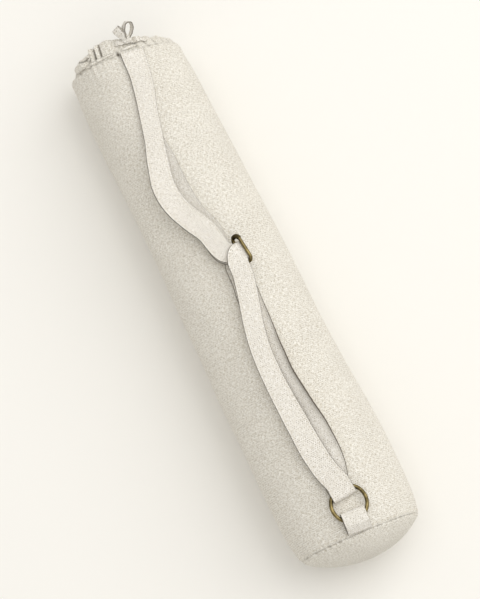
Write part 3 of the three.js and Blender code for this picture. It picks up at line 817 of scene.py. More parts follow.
class GeometryTrees:
    """The geometry node trees that make stitches and bent wire."""

    def __init__(self) -> None:
        """Builds both trees."""
        self.stitches = self.stitch_tree()
        self.wire = self.wire_tree()

    @staticmethod
    def stitch_tree() -> bpy.types.NodeTree:
        """Builds the tree that lays stitches along lines.

        Returns:
            The tree.
        """
        tree, writer = new_group(
            "stitch_row",
            "GeometryNodeTree",
            {
                "Lines": ("NodeSocketGeometry", None),
                "Pitch": ("NodeSocketFloat", 0.0034),
                "Stitch Length": ("NodeSocketFloat", 0.0024),
                "Thread": ("NodeSocketFloat", 0.0006),
                "Seed": ("NodeSocketInt", 3),
                "Finish": ("NodeSocketMaterial", None),
            },
            {"Stitches": "NodeSocketGeometry"},
        )
        start = writer.add("NodeGroupInput").outputs
        curve = writer.add("GeometryNodeMeshToCurve", {0: start["Lines"]})
        spaced = writer.add(
            "GeometryNodeResampleCurve", {"Curve": curve.outputs[0], "Length": start["Pitch"]}, mode="LENGTH"
        )
        tangent = writer.add("GeometryNodeInputTangent")
        stray = writer.add(
            "FunctionNodeRandomValue",
            {"Min": (-0.07, -0.07, -0.07), "Max": (0.07, 0.07, 0.07), "Seed": start["Seed"]},
            data_type="FLOAT_VECTOR",
        )
        heading = writer.add(
            "ShaderNodeVectorMath", {0: tangent.outputs[0], 1: stray.outputs[0]}, operation="ADD"
        )
        turned = writer.add("FunctionNodeAlignRotationToVector", {"Vector": heading.outputs[0]}, axis="X")
        bead = writer.add("GeometryNodeMeshUVSphere", {"Segments": 6, "Rings": 5, "Radius": 0.5})
        size = writer.add(
            "ShaderNodeCombineXYZ", {0: start["Stitch Length"], 1: start["Thread"], 2: start["Thread"]}
        )
        rows = writer.add(
            "GeometryNodeInstanceOnPoints",
            {
                "Points": spaced.outputs[0],
                "Instance": bead.outputs[0],
                "Rotation": turned.outputs[0],
                "Scale": size.outputs[0],
            },
        )
        GeometryTrees.end(writer, rows.outputs[0], start["Finish"])
        return tree

    @staticmethod
    def end(writer: NodeWriter, made: bpy.types.NodeSocket, finish: bpy.types.NodeSocket) -> None:
        """Ends a tree in a real, smooth mesh with its finish.

        Args:
            writer: The tree's writer.
            made: What the tree has made.
            finish: The material.
        """
        real = writer.add("GeometryNodeRealizeInstances", {0: made})
        smooth = writer.add("GeometryNodeSetShadeSmooth", {0: real.outputs[0]})
        dressed = writer.add("GeometryNodeSetMaterial", {0: smooth.outputs[0], "Material": finish})
        writer.add("NodeGroupOutput", {0: dressed.outputs[0]})

    @staticmethod
    def wire_tree() -> bpy.types.NodeTree:
        """Builds the tree that turns a closed line into round wire.

        Returns:
            The tree.
        """
        tree, writer = new_group(
            "bent_wire",
            "GeometryNodeTree",
            {
                "Line": ("NodeSocketGeometry", None),
                "Wire Radius": ("NodeSocketFloat", 0.002),
                "Sides": ("NodeSocketInt", 20),
                "Finish": ("NodeSocketMaterial", None),
            },
            {"Wire": "NodeSocketGeometry"},
        )
        start = writer.add("NodeGroupInput").outputs
        curve = writer.add("GeometryNodeMeshToCurve", {0: start["Line"]})
        profile = writer.add(
            "GeometryNodeCurvePrimitiveCircle",
            {"Resolution": start["Sides"], "Radius": start["Wire Radius"]},
        )
        swept = writer.add(
            "GeometryNodeCurveToMesh",
            {"Curve": curve.outputs[0], "Profile Curve": profile.outputs[0], "Fill Caps": True},
        )
        GeometryTrees.end(writer, swept.outputs[0], start["Finish"])
        return tree

    @staticmethod
    def grow(
        source: bpy.types.Object, tree: bpy.types.NodeTree, values: dict[str, object]
    ) -> bpy.types.Object:
        """Runs a tree on an object and keeps the plain mesh that it makes.

        Args:
            source: The object that holds the lines.
            tree: The tree.
            values: Input name to value.

        Returns:
            A new object with the source's name.
        """
        modifier = source.modifiers.new("grow", "NODES")
        modifier.node_group = tree
        for item in tree.interface.items_tree:
            if item.item_type == "SOCKET" and item.in_out == "INPUT" and item.name in values:
                modifier[item.identifier] = values[item.name]
        bpy.context.view_layer.update()
        graph = bpy.context.evaluated_depsgraph_get()
        mesh = bpy.data.meshes.new_from_object(source.evaluated_get(graph))
        name = source.name
        source.modifiers.remove(modifier)
        bpy.data.objects.remove(source)
        return placed(name, mesh)


def dress(piece: bpy.types.Object, slot: Slot, *nodes: str) -> bpy.types.Object:
    """Hands a finished piece to the frame.

    Args:
        piece: The piece.
        slot: The record's slot that its finish belongs to; not used.
        nodes: The solids that it stands for.

    Returns:
        The same piece.
    """
    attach(piece, "root")
    if nodes:
        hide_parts(*nodes)
    LOG.info("%s: %d faces, for %s", piece.name, len(piece.data.polygons), ", ".join(nodes) or "no solid")
    return piece


@dataclass(frozen=True)
class Stitching:
    """The sizes of a row of stitches."""

    pitch: float = 0.0036
    length: float = 0.0027
    thread: float = 0.0006
    seed: int = 3

    def values(self, finish: bpy.types.Material) -> dict[str, object]:
        """What the stitch tree is given for these stitches.

        Args:
            finish: The thread's material.

        Returns:
            Input name to value.
        """
        return {
            "Pitch": self.pitch, "Stitch Length": self.length, "Thread": self.thread,
            "Seed": self.seed, "Finish": finish,
        }


@dataclass
class CanvasBody:
    """The long tube and the domed base panel, with the puckers of their seam."""

    form: BagForm
    finishes: Finishes
    trees: GeometryTrees
    around: int = 360
    seam_groove: float = 0.0007
    seam_reach: float = 0.0013
    pucker: float = 0.0007
    pucker_reach: float = 0.014
    rim_pucker: float = 0.0008
    rim_reach: float = 0.012
    slack: float = 0.0008
    seam_gap: float = 0.00025
    # how far the painted shade reaches from the seams, and from the rim where the upper strap starts
    shade_reach: float = 0.0016
    nook_shade_reach: float = 0.003
    stitch_inset: float = 0.0034
    stitching: Stitching = Stitching(pitch=0.0042, length=0.0029, thread=0.0008, seed=5)
    # how strong the gathers are all round, how much more at the left front, where that is, its spread
    gathering: tuple = (0.5, 0.35, 48, 34)
    gathers_round: range = range(17, 70, 5)
    rim_puckers_round: range = range(26, 58, 3)
    resting_below: float = -0.9
    # how dark the painted shade is between the base seam's gathers and in the rim's puckers
    seam_shade_strength: float = 0.36
    rim_shade_strength: float = 0.5
    lining_least: float = 0.0012
    # roundness of the dome: 0.5 is an ellipse, more is pointed
    dome_power: float = 0.8

    def turns(self) -> np.ndarray:
        """Degrees of every column of points round the bag."""
        return np.arange(self.around) * 360 / self.around

    def relief(self, distance: np.ndarray, around: np.ndarray) -> np.ndarray:
        """Works out how far the cloth stands proud of its plain form.

        Args:
            distance: Distances from the rim seam.
            around: Degrees round the bag.

        Returns:
            Heights of the slack, the puckers and the seam's groove, never outwards where it rests.
        """
        to_base = np.abs(self.form.length - distance)
        slack = self.slack * waves(around, distance, range(2, 9), 0.16, 5)
        base = self.pucker * np.exp(-to_base / self.pucker_reach) * self.gathers(around)
        rim = self.rim_pucker * np.exp(-distance / self.rim_reach) * self.rim_waves(around, distance)
        groove = self.seam_groove * hump(to_base, self.seam_reach)
        resting = np.cos(np.radians(around)) < self.resting_below
        total = slack + base + rim
        return np.where(resting, np.minimum(total, 0) * 0.2, total) - groove

    def rim_waves(self, around: np.ndarray, along: np.ndarray) -> np.ndarray:
        """The puckers beside the rim, from about -1 to 1."""
        return waves(around, along, self.rim_puckers_round, pitch=9, seed=9)

    def gathers(self, around: np.ndarray) -> np.ndarray:
        """The puckers of the base seam, strongest at its left front, from about -1 to 1.

        Args:
            around: Degrees round the bag.

        Returns:
            One value for each place.
        """
        least, more, middle, spread = self.gathering
        strength = least + more * hump(wrapped(around - middle), spread)
        return strength * waves(around, np.array(0.0), self.gathers_round, pitch=9, seed=7)

    def seam_shade(self, from_seam: np.ndarray, around: np.ndarray) -> np.ndarray:
        """Painted shade between the gathers beside the base seam, from 0 to 1."""
        shade_depth = np.clip(0.25 - 0.6 * self.gathers(around), 0, 1)
        return self.seam_shade_strength * shade_depth * np.exp(-from_seam / self.shade_reach)

    def tube(self) -> bpy.types.Object:
        """Builds the tube: its outer face, the rim, and its lining.

        Returns:
            The piece.
        """
        length = self.form.length
        outer = np.concatenate([
            [0, 0.0004], np.arange(0.0015, 0.03, 0.0015), np.arange(0.03, 0.59, 0.0045),
            np.arange(0.59, length - 0.001, 0.0014), [length - 0.0004, length],
        ])
        inner = np.concatenate([
            np.linspace(length, 0.6, 6), np.linspace(0.58, 0.04, 14), np.linspace(0.02, 0, 4),
        ])
        turn = self.turns()[None, :]
        depth = -self.form.cloth + 0.3 * self.relief(inner[:, None], turn)
        points = np.concatenate([
            self.form.wall(outer[:, None], turn, self.relief(outer[:, None], turn)),
            self.form.wall(inner[:, None], turn, np.minimum(depth, -self.lining_least)),
        ])
        along = np.concatenate([outer, inner])
        from_rim = along[:, None]
        # painted shade between the base seam's gathers, in the hollows of the rim's puckers and where the
        # upper strap starts
        crease = self.seam_shade(length - from_rim, turn)
        dip_shade = np.clip(-0.7 * self.rim_waves(turn, from_rim), 0, 1)
        nook_shade = GatheredCollar.strap_start_shade(wrapped(turn)) * np.exp(-from_rim / self.nook_shade_reach)
        crease = crease + self.rim_shade_strength * dip_shade * np.exp(-from_rim / self.shade_reach) + nook_shade
        shell = self.shell(points, along, True, crease)
        return dress(mesh_piece("canvas_tube", [shell], self.finishes.canvas), Slot.CANVAS, "bag_tube")

    def shell(
        self, points: np.ndarray, along: np.ndarray, rows_close: bool, crease: np.ndarray
    ) -> ClothShell:
        """Lays out rings of points with a flat map: distance round and distance along.

        Args:
            points: The rings.
            along: Each ring's distance along the cloth.
            rows_close: Whether the last ring joins the first.
            crease: How strongly each point is painted with shade.

        Returns:
            The shell.
        """
        columns = np.arange(self.around + 1) / self.around * 2 * math.pi * self.form.base_radius
        flat = np.stack(np.broadcast_arrays(columns[None, :], along[:, None]), -1)
        return ClothShell(points, flat, rows_close, crease)

    def seam_stitches(self) -> None:
        """Sews a row of stitches along the tube's side of the base seam."""
        turn = np.arange(240) * 1.5
        distance = np.full(turn.shape, self.form.length - self.stitch_inset)
        points = self.form.wall(distance, turn, self.relief(distance, turn) - 0.0001)
        source = polyline_object("base_seam_stitches", [[Vector(p) for p in points]], True)
        values = self.stitching.values(self.finishes.thread)
        dress(self.trees.grow(source, self.trees.stitches, values), Slot.CANVAS)

    def dome(self) -> bpy.types.Object:
        """Builds the base panel: a dome that swells past its seam.

        Returns:
            The piece.
        """
        turn = self.turns()[None, :]
        shares = np.concatenate([
            1 - np.array([0, 0.004, 0.009, 0.016, 0.025, 0.036, 0.05, 0.066, 0.085, 0.107, 0.133]),
            np.linspace(0.83, 0.02, 22),
        ])
        _, _, axis_height, _ = self.form.section(self.form.length)

        def rings(inset: float) -> np.ndarray:
            """Points of one face of the dome, this far inside it.

            Args:
                inset: How far inside the outer face.

            Returns:
                Points, one ring for each share.
            """
            edge = self.form.wall(np.array([[self.form.length]]), turn, np.array([[-inset]]))[0]
            share = shares[:, None]
            from_seam = (1 - share) * self.form.base_radius
            bulge = (self.form.base_crown - inset) * (1 - share**2) ** self.dome_power
            pucker = self.pucker * np.exp(-from_seam / self.pucker_reach) * self.gathers(turn)
            groove = self.seam_groove * hump(from_seam, self.seam_reach)
            slack = 0.5 * self.slack * waves(turn, from_seam, range(2, 6), 0.1, 11) * (1 - share**6) * share
            proud = (pucker - groove) * share + slack
            y = (edge[None, :, 1] - self.form.middle_y) * share
            height = (edge[None, :, 2] - axis_height) * share
            scale = 1 + proud / np.maximum(np.hypot(y, height), 0.004) * np.minimum(share * 1.2, 1)
            skewed = edge[None, :, 0] + (share - 1) * self.form.base_skew * edge[None, :, 1]
            x = skewed - self.seam_gap - bulge - slack
            z = np.maximum(axis_height + height * scale, inset)
            return np.stack([np.broadcast_to(x, z.shape), y * scale + self.form.middle_y, z], -1)

        points = np.concatenate([rings(self.form.cloth)[::-1], rings(0.0)])
        from_seam = (1 - shares) * self.form.base_radius
        along = self.form.length + np.concatenate([from_seam[::-1], from_seam])
        # painted shade between the gathers beside the base seam
        crease = self.seam_shade(np.abs(along[:, None] - self.form.length), turn)
        shell = self.shell(points, along, False, crease)
        return dress(mesh_piece("domed_base", [shell], self.finishes.canvas), Slot.CANVAS, "base_panel")

    def build(self) -> None:
        """Builds the tube, the base and the stitches of their seam."""
        self.tube()
        self.dome()
        self.seam_stitches()


@dataclass(frozen=True)
class Roll:
    """A fold of the collar that is rolled on itself and lies along it.

    The turns are degrees round the mouth and the shares are of the collar's height, at its two ends.
    """

    turns: tuple[float, float]
    shares: tuple[float, float]
    radius: float
    depth: float
    groove: tuple[float, float]


@dataclass
class GatheredCollar:
    """The ruffled band round the mouth, with the rolls and folds at its front left."""

    form: BagForm
    finishes: Finishes
    height: float = 0.023
    radius: float = 0.057
    wall: float = 0.0022
    pleat: float = 0.0034
    columns: int = 900
    gap: float = 0.00025
    # degrees round, height and radius as shares
    outline: tuple = (
        (-180, 0.55, 1), (-120, 0.5, 1.02), (-75, 0.36, 1.08), (-45, 0.47, 1.08), (-24, 0.67, 1.05),
        (-8, 0.78, 1.03), (8, 0.98, 1.01), (27, 0.94, 1), (46, 0.76, 0.98), (72, 0.58, 0.98),
        (120, 0.58, 1), (180, 0.55, 1),
    )
    # degrees round, spread in degrees, share of the pleat's depth
    pleats: tuple = (
        (46, 4.5, 0.35), (38.5, 1.8, -1.1), (33.5, 3, 1.3), (28.3, 1.7, -1.7), (24.6, 2, 0.8),
        (20.8, 1.5, -1.5), (10, 7, 0.5), (1, 2, -0.4), (-6, 4, 0.4), (-19, 2.4, -1.3), (-25, 3, 0.6),
        (-31, 1.8, -0.8), (-37, 3, 0.5), (-43, 1.7, -0.7), (-49, 3, 0.7), (-54.5, 1.8, -0.8), (-60, 3, 0.5),
        (-66, 2.4, -0.7), (56, 2.4, -1.1), (63, 4, 0.8), (72, 2.6, -0.9),
    )

    # the fold that curls over at the left, and the thin rolled edge along the rim
    rolls: tuple = (
        Roll((63, 33), (0.4, 0.56), 0.0062, 0.7, (120, -20)),
        Roll((44, 6), (0.14, 0.18), 0.0021, 0.75, (70, 50)),
        Roll((-2, -21), (0.22, 0.34), 0.0024, 0.7, (80, 30)),
    )
    # the back's two rows of pleats round the mouth, and how much lower the second is
    back_pleats: tuple = (26, 19, 0.6)
    front_spread: float = 78
    flare: float = 0.7
    curl_in: float = 0.0016
    curl_reach: float = 0.16
    uneven_edge: float = 0.035

    def folds(self, turn: np.ndarray) -> np.ndarray:
        """Where the front pleats stand out and fall in, as shares of the pleat's depth."""
        return sum(depth * hump(turn - middle, spread) for middle, spread, depth in self.pleats)

    def surface(self, share: np.ndarray, around: np.ndarray, inset: float | np.ndarray) -> np.ndarray:
        """Finds points of the ruffled band.

        Args:
            share: Shares of the band's height.
            around: Degrees round the mouth.
            inset: How far inside the band's outer face.

        Returns:
            Points as an array whose last axis is x, y, z.
        """
        turn = wrapped(around)
        _, radius, axis_height, skew = self.form.section(0.0)
        height = self.height * smooth_table(self.outline, 1, turn)
        top = self.radius * smooth_table(self.outline, 2, turn)
        front = self.folds(turn)
        plain = 1 - hump(turn, self.front_spread)
        many, fewer, second = self.back_pleats
        even = np.sin(np.radians(many * turn)) + second * np.sin(np.radians(fewer * turn + 40))
        back = even * 0.6 * plain
        fine = 0.12 * waves(turn, share * 0.02, range(60, 100, 7), pitch=0.06, seed=21)
        ripple = self.pleat * (front + back + fine) * share**self.flare
        lean = np.degrees(self.pleat * 0.8 * np.cos(np.radians(many * turn)) * plain * share / self.radius)
        angle = np.radians(turn + lean)
        reach = radius + (top - radius) * share**self.flare + ripple - inset
        curl = self.curl_in * hump(share - 1, self.curl_reach)
        y = (reach - curl * 0.4) * np.sin(angle)
        z = inset + self.form.pressed(axis_height + (reach - curl * 0.4) * np.cos(angle) - inset)
        edge = 1 + self.uneven_edge * waves(turn, share * 0, range(9, 30, 4), pitch=1, seed=23)
        x = self.form.rim_x + skew * y + self.gap + share * height * edge
        return np.stack(np.broadcast_arrays(x, y + self.form.middle_y, z), -1)

    def ruffle(self) -> ClothShell:
        """Builds the band itself, as one closed wall.

        Returns:
            A closed shell.
        """
        turn = (np.arange(self.columns) * 360 / self.columns)[None, :]
        shares = np.array([0, 0.015, 0.06, 0.14, 0.24, 0.36, 0.48, 0.6, 0.72, 0.82, 0.9, 0.96, 1.0])
        outer = self.surface(shares[:, None], turn, 0.0)
        rim = self.surface(np.array([[1.05]]), turn, self.wall / 2)
        inner = self.surface(shares[::-1][:, None], turn, self.wall)
        points = np.concatenate([outer, rim, inner])
        along = np.concatenate([shares, [1.05], 2.1 - shares[::-1]]) * self.height
        columns = np.arange(self.columns + 1) / self.columns * 2 * math.pi * self.form.rim_radius
        flat = np.stack(np.broadcast_arrays(columns[None, :], along[:, None]), -1)
        height = np.concatenate([shares, [1.0], shares[::-1]])[:, None]
        # painted shade in the hollows between pleats, fading up the band, and where the upper strap starts
        valley_shade = np.clip(-0.85 * self.folds(wrapped(turn)) - 0.2, 0, 0.9)
        crease = valley_shade * np.clip(height * 3, 0, 1) * (1 - 0.5 * height)
        crease = crease + self.strap_start_shade(wrapped(turn)) * hump(height, 0.22)
        return ClothShell(points, flat, True, crease)

    @staticmethod
    def strap_start_shade(turn: np.ndarray) -> np.ndarray:
        """Painted shade in the hollow where the upper strap's left edge begins, from 0 to 1."""
        return 0.95 * hump(turn - 2.5, 1.8)

    def roll(self, fold: Roll) -> ClothShell:
        """Builds one rolled fold, with the spiral groove where its cloth turns in.

        Args:
            fold: Where it lies and how thick it is.

        Returns:
            A closed shell with painted shade in its groove, darkest on its side towards the rim.
        """
        way = np.linspace(0, 1, 49)
        turn = fold.turns[0] + (fold.turns[1] - fold.turns[0]) * way
        share = fold.shares[0] + (fold.shares[1] - fold.shares[0]) * way
        radius = fold.radius * (0.3 + 0.7 * np.sqrt(np.sin(math.pi * np.clip(way, 0.01, 0.99))))
        middle = self.surface(share, turn, -0.8 * radius * fold.depth)
        heading = np.gradient(middle, axis=0)
        heading /= np.linalg.norm(heading, axis=1)[:, None]
        angle = np.radians(turn)
        out = np.stack([np.zeros(turn.shape), np.sin(angle), np.cos(angle)], 1)
        to_mouth = np.cross(out, heading)
        to_mouth *= np.sign(to_mouth[:, :1])
        to_mouth /= np.linalg.norm(to_mouth, axis=1)[:, None]
        ring = np.linspace(0, 360, 36, endpoint=False)[None, :]
        groove = (fold.groove[0] + (fold.groove[1] - fold.groove[0]) * way)[:, None]
        cut = hump(wrapped(ring - groove), 13)
        reach = radius[:, None] * (1 - 0.3 * cut)
        lift = (reach * fold.depth * np.cos(np.radians(ring)))[..., None]
        aside = (reach * np.sin(np.radians(ring)))[..., None]
        points = middle[:, None] + out[:, None] * lift + to_mouth[:, None] * aside
        points[..., 2] = np.maximum(points[..., 2], 0.0)
        # painted shade in the groove, strongest on the side towards the rim and lighter on the other side
        crease = 0.75 * cut + 0.85 * hump(wrapped(ring + 105), 30) + 0.35 * hump(wrapped(ring - 115), 22)
        travelled = np.concatenate([[0], np.cumsum(np.linalg.norm(np.diff(middle, axis=0), axis=1))])
        edge = np.linspace(0, 2 * math.pi * fold.radius, 37)
        flat = np.stack(np.broadcast_arrays(edge[None, :], travelled[:, None]), -1)
        return ClothShell(points, flat, False, crease)

    def build(self) -> None:
        """Builds the collar and its rolled folds as one piece."""
        shells = [self.ruffle(), *(self.roll(fold) for fold in self.rolls)]
        dress(mesh_piece("gathered_mouth", shells, self.finishes.canvas), Slot.CANVAS, "gathered_collar")


@dataclass
class Station:
    """One place along a band: its middle, the direction of its right edge, and its width."""

    point: Vector
    side: Vector
    width: float


@dataclass(frozen=True)
class ControlRow:
    """A point that a band runs through, how far its right edge is tilted up, and its width."""

    point: Vector
    tilt: float
    width: float


@dataclass
class StrapPlan:
    """The sizes that the straps, the slider, the ring and the tab share, as their solids have them."""

    form: BagForm
    width: float = 0.03
    neck: float = 0.023
    neck_ease: float = 0.002
    square_run: float = 0.005
    ring_approach: float = 0.014
    tab_lift: float = 0.0015
    thick: float = 0.0024
    rise: float = 0.015
    gap: float = 0.0004
    wire_gap: float = 0.00065
    fold_slack: float = 0.0007
    ring_wire: float = 0.0046
    ring_chord_gap: float = 0.0005
    ring_inside: float = 0.0189
    ring_to_seam: float = 0.0356
    ring_across: float = 0.006
    ring_turn: float = 4
    tab_turn: float = -4
    tab_seam_gap: float = 0.002
    slider_wire: float = 0.0042
    slider_side_gap: float = 0.0032
    slider_shift: float = 0.0018
    slider_bend: float = 0.005
    slider_along: float = 0.2788
    slider_across: float = 0.0224
    slider_turn: float = 6.7
    slider_tilt: float = 62
    bar_clear: float = 0.0006
    ring_clear: float = 0.0003
    past_wire: float = 0.001
    upper_at_slider: tuple = (-0.011, -0.017, -0.0015)
    lower_at_slider: tuple = (0.01, -0.011, 0.001)

    def __post_init__(self) -> None:
        """Works out the frames and the turning radii."""
        self.seat = self.thick / 2 + self.gap
        self.ply_gap = self.thick + self.gap
        self.inner_turn = self.slider_wire / 2 + self.wire_gap + self.thick / 2
        self.outer_turn = self.inner_turn + self.ply_gap + self.fold_slack
        bar_height = self.outer_turn + self.seat + self.fold_slack
        past_fold = self.outer_turn + self.thick / 2 + self.gap
        self.bar_spacing = past_fold + self.slider_wire / 2 + self.bar_clear
        self.slider = LocalFrame.over(
            self.form, self.slider_along, self.slider_across, bar_height, self.slider_turn
        )
        self.wire_turn = self.ring_wire / 2 + self.wire_gap + self.thick / 2
        ring_height = self.wire_turn + self.seat + self.ring_clear
        ring_at = self.form.length - self.ring_to_seam
        self.ring = LocalFrame.over(self.form, ring_at, self.ring_across, ring_height, self.ring_turn)
        self.tab = LocalFrame.over(self.form, ring_at, self.ring_across, ring_height, self.tab_turn)
        half = self.width / 2 + self.ring_chord_gap
        self.chord = math.sqrt(self.ring_inside**2 - half**2) + self.ring_wire / 2

    def route(self, rows: Rows) -> list[ControlRow]:
        """Turns a route over the bag into control rows.

        Args:
            rows: Share of the length, share of the base radius to the right, share of the rise, tilt,
                share of the width.

        Returns:
            The control rows.
        """
        return [
            ControlRow(
                self.form.over(
                    along * self.form.length, right * self.form.base_radius, self.seat + rise * self.rise
                ),
                tilt,
                width * self.width,
            )
            for along, right, rise, tilt, width in rows
        ]

    def laid(self, rows: list[ControlRow], backwards: bool, steps: int = 14) -> list[Station]:
        """Runs a band through control rows.

        Args:
            rows: The control rows.
            backwards: Whether the band runs from the base to the mouth.
            steps: Stations between one row and the next.

        Returns:
            The band's stations.
        """
        line = smooth_line([row.point for row in rows], steps)
        sign = -1 if backwards else 1
        stations = []
        for i, point in enumerate(line):
            low = min(i // steps, len(rows) - 2)
            share = i / steps - low
            ease = share * share * (3 - 2 * share)
            heading = (line[min(i + 1, len(line) - 1)] - line[max(i - 1, 0)]).normalized()
            flat = self.form.up(point).cross(heading).normalized() * sign
            risen = heading.cross(flat) * sign
            tilt = math.radians(rows[low].tilt + (rows[low + 1].tilt - rows[low].tilt) * ease)
            width = rows[low].width + (rows[low + 1].width - rows[low].width) * ease
            stations.append(Station(point, flat * math.cos(tilt) + risen * math.sin(tilt), width))
        return stations

    @staticmethod
    def half_turn(
        origin: Vector, out: Vector, up: Vector, radius: float, side: Vector, width: float, from_below: bool
    ) -> list[Station]:
        """Folds a band round a wire.

        Args:
            origin: The wire's middle.
            out: The way that the fold bulges.
            up: The way to the ply on top.
            radius: From the wire's middle to the band's.
            side: The direction of the band's right edge.
            width: The band's width.
            from_below: Whether the fold starts at the lower ply.

        Returns:
            Stations between the two plies.
        """
        steps, sign = 20, -1 if from_below else 1
        return [
            Station(
                origin + out * (math.sin(math.pi * i / steps) * radius)
                + up * (math.cos(math.pi * i / steps) * radius * sign),
                side,
                width,
            )
            for i in range(1, steps)
        ]


@dataclass
class FoldedBand:
    """A band of folded cloth with rounded edges and a row of stitches along each."""

    name: str
    stations: list[Station]
    thick: float
    looped: bool
    stitch_inset: float = 0.0032
    pucker: float = 0.0002
    pucker_pitch: float = 0.008
    # painted shade along the left and right edges and on the back face; the left edge is painted much darker
    # than the right
    left_edge_shade: float = 0.92
    right_edge_shade: float = 0.2
    back_face_shade: float = 0.0
    # where along the band painted shade darkens its back face towards the right edge, where that edge is
    # turned up, and how far that reaches, as shares
    painted_gutter: tuple[float, float] = (-2.0, 0.1)
    gutter_shade_strength: float = 0.75
    # where the hem's pucker starts, and how high the stitches lie, as shares of the half sizes
    hem: float = 0.72
    stitch_height: float = 0.84

    def frames(self) -> list[tuple[Vector, Vector, Vector]]:
        """Finds each station's heading, its direction across and the direction that its face looks in.

        Returns:
            Three directions of length 1 for each station.
        """
        count = len(self.stations)
        found = []
        for i, station in enumerate(self.stations):
            before = self.stations[(i - 1) % count if self.looped else max(i - 1, 0)].point
            after = self.stations[(i + 1) % count if self.looped else min(i + 1, count - 1)].point
            heading = (after - before).normalized()
            across = (station.side - heading * station.side.dot(heading)).normalized()
            found.append((heading, across, heading.cross(across)))
        return found

    def profile(self) -> list[tuple[float, float]]:
        """The band's section: share across from the middle and share of the half thickness.

        Returns:
            Points round the section, from its left edge over its face.
        """
        top = [(-1, 0.0), (-0.995, 0.45), (-0.97, 0.78), (-0.93, 0.95), (-0.88, 1.0), (-0.83, 0.94),
               (-0.79, 0.78), (-0.75, 0.92), (-0.68, 1.02), (-0.5, 1.06), (-0.25, 1.08), (0, 1.09)]
        upper = top + [(-u, v) for u, v in reversed(top[:-1])]
        lower = [(u, -v) for u, v in reversed(upper[1:-1])]
        return upper + lower

    def shell(self) -> ClothShell:
        """Sweeps the section along the stations.

        Returns:
            A closed shell.
        """
        profile = self.profile()
        rows, travelled, along = [], 0.0, []
        for i, (station, (_, across, face)) in enumerate(zip(self.stations, self.frames())):
            if i:
                travelled += (station.point - self.stations[i - 1].point).length
            along.append(travelled)
            wave = math.sin(2 * math.pi * travelled / self.pucker_pitch + 0.7 * math.sin(travelled * 130))
            half = station.width / 2
            row = []
            for u, v in profile:
                edge = max(0.0, abs(u) - self.hem) / 0.28
                lift = self.pucker * wave * edge * math.copysign(1, u)
                aside, raised = u * half + 0.4 * lift, v * self.thick / 2 + lift
                row.append(tuple(station.point + across * aside + face * raised))
            rows.append(row)
        points = np.array(rows)
        steps = np.linalg.norm(np.diff(np.concatenate([points[0], points[0][:1]]), axis=0), axis=1)
        round_edge = np.concatenate([[0], np.cumsum(steps)])
        flat = np.stack(np.broadcast_arrays(round_edge[None, :], np.array(along)[:, None]), -1)
        return ClothShell(points, flat, self.looped, self.painted_shade(profile))

    def painted_shade(self, profile: list[tuple[float, float]]) -> np.ndarray:
        """Paints shade on the band's turned-in sides, which lie against what it rests on, on its back face,
        and over one stretch towards its right edge.

        Args:
            profile: The band's section.

        Returns:
            One row of painted shade, for every station.
        """
        across, height = np.array(profile).T
        side = np.clip((np.abs(across) - 0.93) / 0.03, 0, 1) * np.clip((1.1 - height) / 0.4, 0, 1)
        # painted shade: the left edge darker than the right, the back face, and over one stretch the back
        # face towards the right edge
        edges = side * np.where(across < 0, self.left_edge_shade, self.right_edge_shade)
        plain = np.maximum(edges, self.back_face_shade * (height < 0))[None, :]
        way = np.arange(len(self.stations))[:, None] / len(self.stations)
        right_back_shade = np.clip((across - 0.3) / 0.7, 0, 1) ** 2 * (height < 0)
        gutter_shading = hump(way - self.painted_gutter[0], self.painted_gutter[1]) * right_back_shade
        return plain + self.gutter_shade_strength * gutter_shading

    def stitch_lines(self) -> list[list[Vector]]:
        """Finds where the stitches run along both edges of the upper face.

        Returns:
            Two lines of points.
        """
        frames, lines = self.frames(), []
        height = self.thick / 2 * self.stitch_height
        for edge in (-1, 1):
            line = []
            for station, (_, across, face) in zip(self.stations, frames):
                inset = station.width / 2 - self.stitch_inset
                line.append(station.point + across * edge * inset + face * height)
            lines.append(line)
        return lines


UPPER_FRONT: Rows = [
    (0.0008, 0.167, 0.02, 0, 0.97), (0.063, 0.11, 0.02, -2, 0.87), (0.123, -0.01, 0.12, -7, 0.77),
    (0.179, -0.119, 0.4, -14, 0.77), (0.227, -0.225, 0.72, -24, 0.88), (0.274, -0.298, 0.95, -30, 0.97),
    (0.313, -0.262, 1, -26, 0.97), (0.35, -0.14, 0.98, -14, 0.95), (0.38, -0.02, 0.86, -4, 0.9),
]
UPPER_TAIL: Rows = [
    (0.376, 0.02, 0.2, 0, 0.95), (0.333, -0.09, 0.05, 0, 1), (0.284, -0.13, 0, 0, 1),
    (0.225, -0.125, 0, 0, 0.96), (0.174, -0.115, 0, 0, 0.78),
]
LOWER_FRONT: Rows = [
    (0.479, 0.17, 0.9, 0, 0.85), (0.529, 0.077, 0.84, -2, 0.83), (0.575, -0.018, 0.8, -4, 0.82),
    (0.622, -0.082, 0.78, -6, 0.82), (0.672, -0.104, 0.78, -8, 0.84), (0.724, -0.1, 0.76, -8, 0.89),
    (0.776, -0.083, 0.7, -6, 0.95), (0.829, -0.062, 0.56, -3, 1), (0.872, -0.015, 0.42, 0, 1),
]
LOWER_BACK: Rows = [
    (0.864, 0.12, 0.2, 8, 1), (0.806, 0.15, 0.5, 32, 1), (0.747, 0.12, 0.62, 44, 1),
    (0.688, 0.065, 0.55, 38, 1), (0.629, 0.05, 0.32, 22, 1), (0.57, 0.07, 0.1, 6, 1),
    (0.52, 0.1, 0, 0, 0.95), (0.484, 0.13, 0, 0, 0.9),
]


